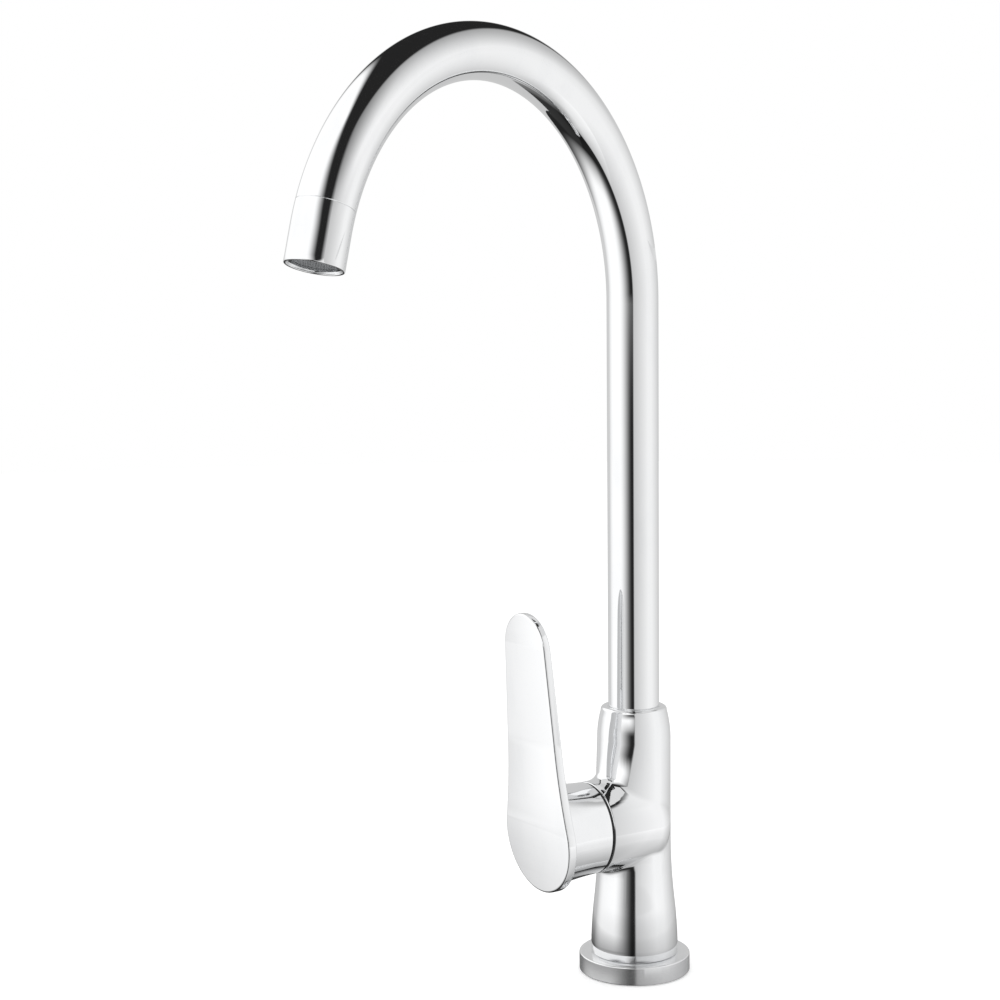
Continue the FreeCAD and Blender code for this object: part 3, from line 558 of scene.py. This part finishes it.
def turned_shell(name: str, line: SwanNeck, outline: Array, sides: int) -> bpy.types.Object:
    """Round piece carried along a line.

    A point is centre(s) + r (cos a * across + sin a * other), where (s, r) runs round the closed
    outline and a runs round the line.

    Args:
        name: the piece's name.
        line: the centreline.
        outline: (n, 2) closed outline of (distance along, radius), in order.
        sides: how many points go round.

    Returns:
        The object.
    """
    centres, across, other = line.frames(outline[:, 0])
    angles = 2 * np.pi * np.arange(sides) / sides
    cosines, sines = np.cos(angles)[None, :, None], np.sin(angles)[None, :, None]
    spokes = cosines * across[:, None] + sines * other[:, None]
    points = centres[:, None] + outline[:, 1][:, None, None] * spokes
    s, r = outline.T
    area = np.sum(s * np.roll(r, -1) - np.roll(s, -1) * r)
    faces = grid_faces(len(outline), sides, True, True)
    return add_mesh(name, points.reshape(-1, 3), faces if area < 0 else faces[:, ::-1])


def soften(piece: bpy.types.Object) -> None:
    """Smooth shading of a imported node.

    Its loose triangles are joined and split again along sharp edges.

    Args:
        piece: the node's object.
    """
    smooth_faces(piece.data)
    weld = piece.modifiers.new("joined", "WELD")
    weld.merge_threshold = MERGE_DISTANCE
    split = piece.modifiers.new("sharp_edges", "EDGE_SPLIT")
    split.split_angle = math.radians(SHARP_DEGREES)


# The tap's sub-assemblies


@dataclass
class Casting:
    """Column, neck and barrel in one piece, with the soft blend that polishing leaves.

    The blend is widest over the barrel. Its corners are moved onto a smooth surface that runs
    from the column to the barrel.
    """

    column_r: float = 17.35
    foot_r: float = 20.6
    foot_z: float = 8.6
    taper_top_z: float = 65.0
    taper_turn: float = 0.45
    barrel_turn: float = -18.2
    barrel_z: float = 72.4
    barrel_r: float = 21.35
    barrel_back: float = 14.6
    blend_over: float = 7.5
    blend_under: float = 3.4
    blend_least: float = 0.02
    widening_drop: float = 9.0
    widening_rise: float = 24.0
    skin_slack: float = 0.03
    skin_reach: float = 2.0
    probe: float = 0.01
    finest: float = 1.1
    cutting_rounds: int = 7
    settling_rounds: int = 8

    def column_distance(self, places: Array) -> Array:
        """Distance outside the column.

        It is r - R(z), where R falls from the foot to the column's radius along two parabolas.

        Args:
            places: (n, 3) places in millimetres.

        Returns:
            (n,) distances.
        """
        turn_z = self.foot_z + self.taper_turn * (self.taper_top_z - self.foot_z)
        drop = self.foot_r - self.column_r
        z = np.clip(places[:, 2], self.foot_z, self.taper_top_z)
        risen = (z - self.foot_z) / (turn_z - self.foot_z)
        lower = self.foot_r - drop * self.taper_turn * risen**2
        share = (self.taper_top_z - z) / (self.taper_top_z - turn_z)
        upper = self.column_r + drop * (1 - self.taper_turn) * share**2
        return np.hypot(places[:, 0], places[:, 1]) - np.where(z < turn_z, lower, upper)

    def barrel_axes(self, places: Array) -> tuple[Array, Array]:
        """Level distances across the barrel and out along it. Args: places. Returns: the two."""
        turn = math.radians(self.barrel_turn)
        across = places[:, 0] * math.cos(turn) + places[:, 1] * math.sin(turn)
        out = places[:, 0] * math.sin(turn) - places[:, 1] * math.cos(turn)
        return across, out

    def barrel_distance(self, places: Array) -> Array:
        """Distance outside the barrel, a cylinder with half an ellipsoid as its back.

        With n = sqrt((q / R)^2 + (s / B)^2), where q is the distance from the axis and s the
        depth behind the column's middle, it is (n - 1) over the length of n's gradient.

        Args:
            places: (n, 3) places in millimetres.

        Returns:
            (n,) distances.
        """
        across, out = self.barrel_axes(places)
        q = np.hypot(across, places[:, 2] - self.barrel_z)
        s = np.minimum(out, 0)
        n = np.hypot(q / self.barrel_r, s / self.barrel_back)
        steep = np.hypot(q / self.barrel_r**2, s / self.barrel_back**2) / n
        return (n - 1) / steep

    def blend_width(self, places: Array) -> Array:
        """Width of the blend: wide over the barrel, narrow under it, and none where both run level.

        The width is scaled by 1 - max(cos t, 0), where t is the angle between the column's
        radius and the barrel's, so that nothing is added along the flanks.

        Args:
            places: (n, 3) places in millimetres.

        Returns:
            (n,) widths.
        """
        height = places[:, 2] - self.barrel_z
        share = np.clip((height + self.widening_drop) / self.widening_rise, 0, 1)
        across, out = self.barrel_axes(places)
        s = np.minimum(out, 0) * (self.barrel_r / self.barrel_back) ** 2
        length = np.sqrt(across**2 + height**2 + s**2)
        level = (across * across + out * s) / np.hypot(across, out) / length
        growth = (self.blend_over - self.blend_under) * share**2 * (3 - 2 * share)
        return (self.blend_under + growth) * (1 - np.maximum(level, 0)) + self.blend_least

    def distances(self, places: Array) -> tuple[Array, Array, Array]:
        """The two distances and the blend's width. Args: places. Returns: the three."""
        return (self.column_distance(places), self.barrel_distance(places),
                self.blend_width(places))

    def surface(self, places: Array) -> Array:
        """Value that is 0 on the casting's outside.

        With a and b the two distances and k the blend's width, it is min(a, b) - h^2 k / 4,
        where h = max(k - |a - b|, 0) / k.

        Args:
            places: (n, 3) places in millimetres.

        Returns:
            (n,) values, positive outside.
        """
        a, b, k = self.distances(places)
        h = np.maximum(k - np.abs(a - b), 0) / k
        return np.minimum(a, b) - h**2 * k / 4

    def slope(self, places: Array) -> Array:
        """Gradient of the surface value, (f(p + h) - f(p - h)) / 2h by axis.

        Args:
            places: (n, 3) places in millimetres.

        Returns:
            (n, 3) gradients.
        """
        rises = []
        for step in self.probe * np.eye(3):
            rise = self.surface(places + step) - self.surface(places - step)
            rises.append(rise / (2 * self.probe))
        return np.stack(rises, axis=1)

    def in_blend(self, places: Array) -> Array:
        """Whether places lie on the blend. Args: places. Returns: (n,) truth values."""
        a, b, k = self.distances(places)
        nearer = np.minimum(a, b)
        return (np.abs(a - b) < k) & (nearer > -self.skin_slack) & (nearer < self.skin_reach)

    def refined(self, shape: bmesh.types.BMesh) -> None:
        """Cuts the blend's long edges short. Args: shape: the mesh, changed in place."""
        for _ in range(self.cutting_rounds):
            shape.edges.ensure_lookup_table()
            ends = np.array([[tuple(v.co) for v in edge.verts] for edge in shape.edges]) / MM
            wanted = np.linalg.norm(ends[:, 0] - ends[:, 1], axis=1) > self.finest
            wanted &= self.in_blend(ends.mean(axis=1))
            wanted &= self.in_blend(ends[:, 0]) | self.in_blend(ends[:, 1])
            cut = [shape.edges[i] for i in np.flatnonzero(wanted)]
            if not cut:
                break
            bmesh.ops.subdivide_edges(shape, edges=cut, cuts=1)
            split = [face for face in shape.faces if len(face.verts) > 3]
            bmesh.ops.triangulate(shape, faces=split)

    def merged(self) -> bpy.types.Mesh:
        """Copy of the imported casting, joined up and finely cut on the blend. Returns: it."""
        shape = bmesh.new()
        shape.from_mesh(frame["nodes"]["body_casting"].data)
        bmesh.ops.remove_doubles(shape, verts=shape.verts, dist=MERGE_DISTANCE)
        self.refined(shape)
        mesh = bpy.data.meshes.new("tap_body")
        shape.to_mesh(mesh)
        shape.free()
        return mesh

    def settled(self, mesh: bpy.types.Mesh) -> tuple[Array, Array]:
        """Moves the blend's corners onto the surface.

        Each round takes a corner p to p - f(p) g / |g|^2, where g is the gradient of f at p.

        Args:
            mesh: the casting, changed in place.

        Returns:
            The corners' places, and which of them lie on the blend.
        """
        flat = np.empty(len(mesh.vertices) * 3)
        mesh.vertices.foreach_get("co", flat)
        places = flat.reshape(-1, 3) / MM
        moving = self.in_blend(places)
        blend = places[moving]
        for _ in range(self.settling_rounds):
            slope = self.slope(blend)
            step = self.surface(blend)[:, None] * slope / np.sum(slope**2, axis=1)[:, None]
            blend = blend - step
        places[moving] = blend
        mesh.vertices.foreach_set("co", (places * MM).ravel())
        return places, moving

    def shaded(self, mesh: bpy.types.Mesh, places: Array, moving: Array) -> None:
        """Gives the blend the normals of its surface and the rest plain smooth ones.

        Args:
            mesh: the casting, changed in place.
            places: its corners' places.
            moving: which corners lie on the blend.
        """
        smooth_faces(mesh)
        mesh.set_sharp_from_angle(angle=math.radians(SHARP_DEGREES))
        mesh.update()
        corners = np.empty(len(mesh.loops) * 3)
        mesh.corner_normals.foreach_get("vector", corners)
        corners = corners.reshape(-1, 3)
        owner = np.empty(len(mesh.loops), int)
        mesh.loops.foreach_get("vertex_index", owner)
        normals = np.zeros_like(places)
        slope = self.slope(places[moving])
        normals[moving] = slope / np.linalg.norm(slope, axis=1)[:, None]
        picked = moving[owner]
        corners[picked] = normals[owner[picked]]
        mesh.normals_split_custom_set(corners.tolist())

    def build(self, wardrobe: Wardrobe) -> list[bpy.types.Object]:
        """Makes the casting. Args: wardrobe: the materials. Returns: the piece."""
        mesh = self.merged()
        places, moving = self.settled(mesh)
        self.shaded(mesh, places, moving)
        made = link_mesh("tap_body", mesh)
        wardrobe.dress(made, Slot.CAST_CHROME.slot)
        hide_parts("body_casting")
        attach(made, "body")
        return [made]


@dataclass
class Spout:
    """Swan-neck tube, outlet sleeve after a fine seam, and the woven mesh in the outlet."""

    tube_r: float = 12.0
    tube_wall: float = 1.0
    foot_z: float = 118.1
    rise_z: float = 317.3
    bend_r: float = 104.0
    sweep: float = 164.5
    straight: float = 14.6
    sleeve_length: float = 24.0
    sleeve_wall: float = 1.2
    tail: float = 8.0
    tail_wall: float = 0.9
    fit: float = 0.03
    seam_chamfer: float = 0.22
    lip_round: float = 0.35
    sides: int = 96
    longest: float = 3.0
    sleeve_longest: float = 2.0
    mesh_r: float = 9.35
    mesh_depth: float = 1.7
    mesh_thick: float = 0.6
    wire_r: float = 0.14
    wire_pitch: float = 0.72
    wire_gap: float = 0.02
    wire_points: int = 105
    wire_sides: int = 6
    wire_sharp: float = 60.0

    @property
    def line(self) -> SwanNeck:
        """The spout's centreline."""
        return SwanNeck(self.rise_z, self.bend_r, self.sweep, self.straight)

    def tube(self) -> bpy.types.Object:
        """Tube from the neck to the seam. Returns: the piece."""
        seam = self.line.length - self.sleeve_length
        inner = self.tube_r - self.tube_wall
        corners = [(self.foot_z, inner), (self.foot_z, self.tube_r),
                   (seam - self.seam_chamfer, self.tube_r),
                   (seam, self.tube_r - self.seam_chamfer), (seam, inner)]
        outline = resampled(np.array(corners), self.longest)
        made = turned_shell("swan_neck_tube", self.line, outline, self.sides)
        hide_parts("spout_tube")
        return made

    def sleeve(self) -> bpy.types.Object:
        """Outlet sleeve with its chamfer at the seam and its rounded mouth. Returns: the piece."""
        end = self.line.length
        seam = end - self.sleeve_length
        inner = self.tube_r - self.sleeve_wall
        tail_r = self.tube_r - self.tube_wall - self.fit
        tail_in = tail_r - self.tail_wall
        corners = [(seam, tail_r), (seam, self.tube_r - self.seam_chamfer),
                   (seam + self.seam_chamfer, self.tube_r), (end, self.tube_r), (end, inner),
                   (seam + self.tube_wall, inner), (seam + self.tube_wall, tail_in),
                   (seam - self.tail, tail_in), (seam - self.tail, tail_r)]
        radii = [0, 0, 0, self.lip_round, self.lip_round, 0, 0, 0, 0]
        outline = resampled(rounded(corners, radii), self.sleeve_longest)
        made = turned_shell("outlet_end", self.line, outline, self.sides)
        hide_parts("outlet_sleeve")
        return made

    def weave(self) -> bpy.types.Object:
        """Woven wire mesh.

        A wire of one set lies at v = k p and runs along u, with height A cos(pi (u / p + k)); the
        other set crosses it with the height turned over. A point of a wire's skin is its line
        plus r (cos a, sin a) in the plane across the wire. Each wire ends at the disc's rim,
        where it is left open.

        Returns:
            The piece.
        """
        count = int(self.mesh_r / self.wire_pitch)
        number = np.arange(-count, count + 1)
        offset = number * self.wire_pitch
        half = np.sqrt(self.mesh_r**2 - offset**2)
        u = half[:, None] * np.linspace(-1, 1, self.wire_points)[None]
        rise = self.mesh_thick / 2 - self.wire_r - self.wire_gap
        height = rise * np.cos(np.pi * (u / self.wire_pitch + number[:, None]))
        angle = 2 * np.pi * np.arange(self.wire_sides) / self.wire_sides
        side = offset[:, None, None] + self.wire_r * np.cos(angle) + 0 * u[..., None]
        round_lift = self.wire_r * np.sin(angle)
        along = u[..., None] + 0 * side
        first = np.stack([along, side, height[..., None] + round_lift], axis=-1)
        second = np.stack([side, along, round_lift - height[..., None]], axis=-1)
        wires = np.concatenate([first, second])
        middle = self.line.length - self.mesh_depth - self.mesh_thick / 2
        centres, across, other = self.line.frames(np.array([middle]))
        heading = np.cross(across[0], other[0])
        points = centres[0] + wires @ np.stack([across[0], other[0], heading])
        skin = grid_faces(self.wire_points, self.wire_sides, False, True)
        starts = np.arange(len(wires)) * self.wire_points * self.wire_sides
        faces = np.concatenate([(skin[:, ::-1] if i < len(number) else skin) + start
                                for i, start in enumerate(starts)])
        made = add_mesh("woven_mesh", points.reshape(-1, 3), faces, self.wire_sharp)
        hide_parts("aerator_mesh")
        return made

    def build(self, wardrobe: Wardrobe) -> list[bpy.types.Object]:
        """Makes the spout's pieces. Args: wardrobe: the materials. Returns: them."""
        pieces = [self.tube(), self.sleeve(), self.weave()]
        slots = [Slot.POLISHED_CHROME, Slot.POLISHED_CHROME, Slot.STEEL_MESH]
        for piece, finish in zip(pieces, slots):
            wardrobe.dress(piece, finish.slot)
            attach(piece, "spout")
        return pieces


# The studio


def azimuth_of(across: Expr, along: Expr) -> Expr:
    """Degrees round the tap, 0 under the spout. Args: across, along: x and y. Returns: them."""
    return across.bearing(0 - along)


def wrapped(azimuth: Expr) -> Expr:
    """Azimuth counted up from WRAP_AT. Args: azimuth: -180 to 180 degrees. Returns: it."""
    return azimuth + (1 - azimuth.above(WRAP_AT)) * 360


class Sight:
    """Direction in which a ray leaves the tap, as angles that the studio's panels are cut to.

    The azimuth is 0 under the spout and grows towards +X. Angles are in degrees.
    """

    def __init__(self, tree: Tree) -> None:
        """Args:
        tree: the world's node tree.
        """
        self.tree = tree
        self.ray = tree.node("ShaderNodeTexCoord").outputs["Generated"]
        parts = tree.node("ShaderNodeSeparateXYZ", None, {"Vector": self.ray})
        across, along, up = (Expr(tree, parts.outputs[name]) for name in "XYZ")
        self.azimuth = azimuth_of(across, along)
        self.elevation = up.lesser(1.0).greater(-1.0).arcsine()

    def over(self, azimuth: float, tilt: float) -> Expr:
        """Angle above a great circle.

        The circle passes through the level directions at right angles to the azimuth and rises
        to the tilt at it. The angle is the arc sine of the ray's dot product with the circle's
        upper pole.

        Args:
            azimuth: where the circle is highest.
            tilt: how high it is there.

        Returns:
            The angle, below the circle negative.
        """
        turn, rise = math.radians(azimuth), math.radians(tilt)
        tipped = math.sin(rise)
        pole = (-math.sin(turn) * tipped, math.cos(turn) * tipped, math.cos(rise))
        sockets = {0: self.ray, 1: pole}
        made = self.tree.node("ShaderNodeVectorMath", {"operation": "DOT_PRODUCT"}, sockets)
        return Expr(self.tree, made.outputs["Value"]).lesser(1.0).greater(-1.0).arcsine()


@dataclass(frozen=True)
class KeyPanel:
    """Large white panel in front and to the left, with softer sides below the tap's level.

    An edge is the angles at which it starts and ends. A circle is its azimuth and tilt.
    """

    low_edge: Span = (-4.0, 14.0)
    top_circle: Span = (-38.0, 75.0)
    top_edge: Span = (-4.0, 4.0)
    bottom_circle: Span = (-33.0, -71.0)
    bottom_edge: Span = (-3.0, 24.0)
    bottom_power: float = 0.6
    left_edge: Span = (-123.5, -118.5)
    left_edge_low: Span = (-135.0, -62.0)
    right_slant: float = 0.45
    right_at: float = 42.5
    right_edge: Span = (-20.0, 19.0)
    right_edge_low: Span = (-25.0, 30.0)

    def share(self, sight: Sight) -> Expr:
        """1 on the panel and 0 off it. Args: sight: the direction. Returns: the share."""
        azimuth = sight.azimuth
        low = 1 - sight.elevation.smooth(*self.low_edge)
        top = 1 - sight.over(*self.top_circle).smooth(*self.top_edge)
        bottom = sight.over(*self.bottom_circle).smooth(*self.bottom_edge) ** self.bottom_power
        left = low.between(azimuth.smooth(*self.left_edge), azimuth.smooth(*self.left_edge_low))
        slanted = azimuth + sight.elevation * self.right_slant - self.right_at
        right = low.between(1 - slanted.smooth(*self.right_edge),
                            1 - azimuth.smooth(*self.right_edge_low))
        return top * bottom * left * right


@dataclass(frozen=True)
class SidePanel:
    """White panel on the right that fades towards the back and upwards.

    An edge is the angles at which it starts and ends. Growth and fading are two angles and the
    share that changes between them. A circle is its azimuth and tilt.
    """

    high_edge: Span = (10.0, 16.0)
    start: float = 20.0
    start_edge: Span = (65.0, 77.0)
    start_edge_low: Span = (35.5, 42.0)
    growth: Triple = (72.0, 115.0, 0.64)
    growth_low: Triple = (42.0, 100.0, 0.38)
    fading: Triple = (125.0, 185.0, 0.4)
    fading_up: Triple = (12.0, 60.0, 0.6)
    top_circle: Span = (121.0, 62.5)
    top_edge: Span = (-3.0, 3.0)
    end_edge: Span = (192.0, 202.0)
    end_share: float = 0.72
    last_edge: Span = (205.0, 222.0)
    last_share: float = 0.25

    def share(self, sight: Sight) -> Expr:
        """1 on the panel and 0 off it. Args: sight: the direction. Returns: the share."""
        around = wrapped(sight.azimuth)
        high = sight.elevation.smooth(*self.high_edge)
        edge = high.between(around.smooth(*self.start_edge_low), around.smooth(*self.start_edge))
        growth = high.between(around.grown(*self.growth_low), around.grown(*self.growth))
        fading = around.dimmed(*self.fading) * sight.elevation.dimmed(*self.fading_up)
        top = 1 - sight.over(*self.top_circle).smooth(*self.top_edge)
        end = 1 - around.smooth(*self.end_edge) * self.end_share
        end = end - around.smooth(*self.last_edge) * self.last_share
        return edge * growth * fading * top * end * around.above(self.start)


@dataclass(frozen=True)
class BackBand:
    """Pale band level with the tap, behind it on the left. Edges are as in the key panel."""

    start_edge: Span = (186.0, 198.0)
    height_edge: Span = (12.0, 24.0)

    def share(self, sight: Sight) -> Expr:
        """1 on the band and 0 off it. Args: sight: the direction. Returns: the share."""
        level = 1 - sight.elevation.absolute().smooth(*self.height_edge)
        return wrapped(sight.azimuth).smooth(*self.start_edge) * level


@dataclass
class Studio:
    """White floor and surroundings, soft light, the panels that chrome mirrors, and the camera."""

    camera_at: Triple = (536.0, -750.2, 317.6)
    heading: float = 39.41
    pitch: float = -5.73
    roll: float = -0.56
    lens: float = 71.25
    sensor: float = 36.0
    clip: Span = (0.01, 50.0)
    gap_level: float = 0.02
    key_level: float = 1.15
    side_level: float = 1.08
    band_level: float = 0.68
    card_level: float = 1.02
    fill_level: float = 0.82
    lamp_power: float = 5.0
    lamp_size: float = 1.6
    lamp_at: Triple = (-0.5, -0.9, 1.7)
    lamp_aim: Triple = (0.0, 0.0, 0.15)
    floor_r: float = 3000.0
    floor_z: float = -0.4
    floor_sides: int = 96
    floor_white: float = 0.95
    floor_lift: float = 0.32
    # painted shade that the floor shows in mirrors next to the tap
    floor_shade: float = 0.5
    shade_near: Triple = (0.02, 0.12, 0.3)
    shade_far: Triple = (0.1, 0.33, 0.2)
    ring_shade: float = 0.3
    ring_inner: Span = (0.03, 0.05)
    ring_outer: Span = (0.05, 0.12)
    ring_start: Span = (-178.0, -140.0)
    ring_end: Span = (-5.0, 35.0)
    card_distance: float = 330.0
    card_height: float = 500.0
    card_span: Span = (40.0, 246.0)
    card_points: int = 104
    card_growth: Triple = (42.0, 105.0, 0.36)
    card_fading: Triple = (125.0, 190.0, 0.38)
    card_top: Span = (0.4, 0.5)
    canopy_height: float = 345.0
    canopy_level: float = 0.78
    canopy_span: Span = (46.0, 366.0)
    canopy_reach: Span = (60.0, 190.0)
    canopy_points: int = 96

    def camera(self) -> None:
        """Places the camera at the picture's viewing angle, level apart from a slight roll."""
        turn, nod, roll = (math.radians(a) for a in (self.heading, self.pitch, self.roll))
        flat = math.cos(nod)
        forward = Vector((-math.sin(turn) * flat, math.cos(turn) * flat, math.sin(nod)))
        right = forward.cross(Vector((0, 0, 1))).normalized()
        up = right.cross(forward)
        rolled_right = right * math.cos(roll) + up * math.sin(roll)
        rolled_up = up * math.cos(roll) - right * math.sin(roll)
        data = bpy.data.cameras.new("picture_camera")
        data.sensor_width = self.sensor
        data.lens = self.lens
        data.clip_start, data.clip_end = self.clip
        made = bpy.data.objects.new("picture_camera", data)
        place = Matrix((rolled_right, rolled_up, -forward)).transposed().to_4x4()
        place.translation = Vector(self.camera_at) * MM
        made.matrix_world = place
        bpy.context.scene.collection.objects.link(made)
        bpy.context.scene.camera = made

    def world(self) -> None:
        """White for the camera, the panels in mirrors, and a plain fill light for all else."""
        world = bpy.data.worlds.new("white_room")
        bpy.context.scene.world = world
        tree = Tree(world)
        sight = Sight(tree)
        key = KeyPanel().share(sight) * self.key_level
        side = SidePanel().share(sight) * self.side_level
        band = BackBand().share(sight) * self.band_level
        panels = key.greater(side).greater(band) + self.gap_level
        mirrored = tree.light_path("Is Glossy Ray")
        white = tree.light_path("Is Camera Ray").greater(tree.light_path("Is Transmission Ray"))
        level = white + (1 - white) * (mirrored * panels + (1 - mirrored) * self.fill_level)
        light = tree.node("ShaderNodeBackground", None, {"Color": WHITE, "Strength": level})
        tree.node("ShaderNodeOutputWorld", None, {"Surface": light.outputs[0]})

    def put_up(
        self, name: str, points: Array, faces: Array, material: bpy.types.Material
    ) -> bpy.types.Object:
        """Puts up a flat-faced object with one material.

        Args:
            name: its name.
            points: (n, 3) places in millimetres.
            faces: point numbers.
            material: what it is made of.

        Returns:
            The object.
        """
        made = link_mesh(name, flat_mesh(name, points, faces))
        made.data.materials.append(material)
        return made

    def only_mirrored(self, made: bpy.types.Object) -> None:
        """Makes an object show only in mirrors. Args: made: the object."""
        made.visible_camera = False
        made.visible_diffuse = False
        made.visible_transmission = False
        made.visible_shadow = False

    def floor(self) -> None:
        """Pale floor that is white in the open and takes the tap's soft shadow."""
        rim = 2 * np.pi * np.arange(self.floor_sides) / self.floor_sides
        points = np.stack([self.floor_r * np.cos(rim), self.floor_r * np.sin(rim),
                           np.full(self.floor_sides, self.floor_z)], axis=1)
        faces = np.arange(self.floor_sides)[None]
        made = self.put_up("floor", points, faces, self.floor_material())

    def floor_material(self) -> bpy.types.Material:
        """White for the camera apart from the shadow.

        In mirrors it only dims the surroundings near the tap, with a painted shade: a black share.
        The share that it dims falls from floor_shade with distance, and half a ring on the left
        adds to it.

        Returns:
            The material.
        """
        made = bpy.data.materials.new("white_floor")
        tree = Tree(made)
        lift = tree.light_path("Is Camera Ray") * self.floor_lift
        sockets = {"Base Color": (self.floor_white,) * 3, "Roughness": 1.0,
                   "Specular IOR Level": 0.0, "Emission Color": WHITE,
                   "Emission Strength": lift}
        plain = tree.node("ShaderNodeBsdfPrincipled", None, sockets).outputs[0]
        place = tree.node("ShaderNodeTexCoord").outputs["Object"]
        reach = tree.node("ShaderNodeVectorMath", {"operation": "LENGTH"}, {0: place})
        distance = Expr(tree, reach.outputs["Value"])
        parts = tree.node("ShaderNodeSeparateXYZ", None, {0: place})
        azimuth = azimuth_of(*(Expr(tree, parts.outputs[name]) for name in "XY"))
        near, far = (distance.ramp(low, high) * share
                     for low, high, share in (self.shade_near, self.shade_far))
        left = (1 - azimuth.smooth(*self.ring_end)) * azimuth.smooth(*self.ring_start)
        ring = left * (1 - distance.ramp(*self.ring_outer)) * distance.ramp(*self.ring_inner)
        # painted shade: how much black the floor shows in mirrors, most near the tap and on the
        # left
        shade = self.floor_shade - near - far + ring * self.ring_shade
        mirrored = tree.blend(shade, tree.clear(), tree.glow(0.0))
        tree.finish(tree.blend(tree.light_path("Is Glossy Ray"), plain, mirrored))
        return made

    def card_material(self) -> bpy.types.Material:
        """Glow of the card, brightest at the side and clear at the top. Returns: the material."""
        made = bpy.data.materials.new("white_card")
        tree = Tree(made)
        place = tree.node("ShaderNodeTexCoord").outputs["Object"]
        parts = tree.node("ShaderNodeSeparateXYZ", None, {0: place})
        across, along, up = (Expr(tree, parts.outputs[name]) for name in "XYZ")
        around = wrapped(azimuth_of(across, along))
        level = around.grown(*self.card_growth) * around.dimmed(*self.card_fading)
        glow = tree.glow(level * self.card_level)
        tree.finish(tree.blend(up.smooth(*self.card_top), glow, tree.clear()))
        return made

    def card(self) -> None:
        """White card that stands round the tap's side and back and shows only in mirrors.

        It is part of a cylinder round the tap: (R sin a, -R cos a, z) for azimuths a and heights z.
        """
        turn = np.radians(np.linspace(*self.card_span, self.card_points))
        arc = np.stack([np.sin(turn), -np.cos(turn)], axis=1) * self.card_distance
        points = np.concatenate([np.column_stack([arc, np.full(self.card_points, height)])
                                 for height in (0.0, self.card_height)])
        faces = grid_faces(2, self.card_points, False, False)
        made = self.put_up("card", points, faces, self.card_material())
        self.only_mirrored(made)

    def canopy(self) -> None:
        """Pale sheet over the tap's body that glows downwards and shows only in mirrors.

        It is part of a level ring below the arch's top: (R sin a, -R cos a, z) for azimuths a.
        """
        turn = np.radians(np.linspace(*self.canopy_span, self.canopy_points))
        level = np.full(self.canopy_points, self.canopy_height)
        points = np.concatenate([np.stack([r * np.sin(turn), -r * np.cos(turn), level], axis=1)
                                 for r in self.canopy_reach])
        material = bpy.data.materials.new("pale_canopy")
        tree = Tree(material)
        away = tree.node("ShaderNodeNewGeometry").outputs["Backfacing"]
        tree.finish(tree.blend(away, tree.glow(self.canopy_level), tree.clear()))
        faces = grid_faces(2, self.canopy_points, False, False)
        made = self.put_up("canopy", points, faces, material)
        self.only_mirrored(made)

    def lamp(self) -> None:
        """One large soft lamp high in front on the left, which gives form to what isn't chrome."""
        data = bpy.data.lights.new("softbox", "AREA")
        data.shape = "DISK"
        data.size = self.lamp_size
        data.energy = self.lamp_power
        made = bpy.data.objects.new("softbox", data)
        start = Vector(self.lamp_at)
        aim = (Vector(self.lamp_aim) - start).to_track_quat("-Z", "Y")
        made.matrix_world = Matrix.Translation(start) @ aim.to_matrix().to_4x4()
        made.visible_glossy = False
        bpy.context.scene.collection.objects.link(made)

    def build(self) -> None:
        """Sets up the picture's surroundings."""
        self.camera()
        self.world()
        self.floor()
        self.card()
        self.canopy()
        self.lamp()
        bpy.context.scene.view_settings.view_transform = "Standard"


# Putting it together


def main() -> None:
    """Builds the tap's classes in order and reports each piece."""
    logging.basicConfig(level=logging.INFO, format="%(name)s: %(message)s")
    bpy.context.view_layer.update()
    wardrobe = Wardrobe()
    for part in frame["record"]["subparts"]:
        node = frame["nodes"][part["node"]]
        cast = part["node"] in ("body_casting", "lever")
        wardrobe.dress(node, Slot.CAST_CHROME.slot if cast else part["material_slot"])
        soften(node)
    for assembly in (Casting(), Spout()):
        for piece in assembly.build(wardrobe):
            LOG.info("%s: %d faces", piece.name, len(piece.data.polygons))
    Studio().build()


if __name__ == "__main__":
    main()
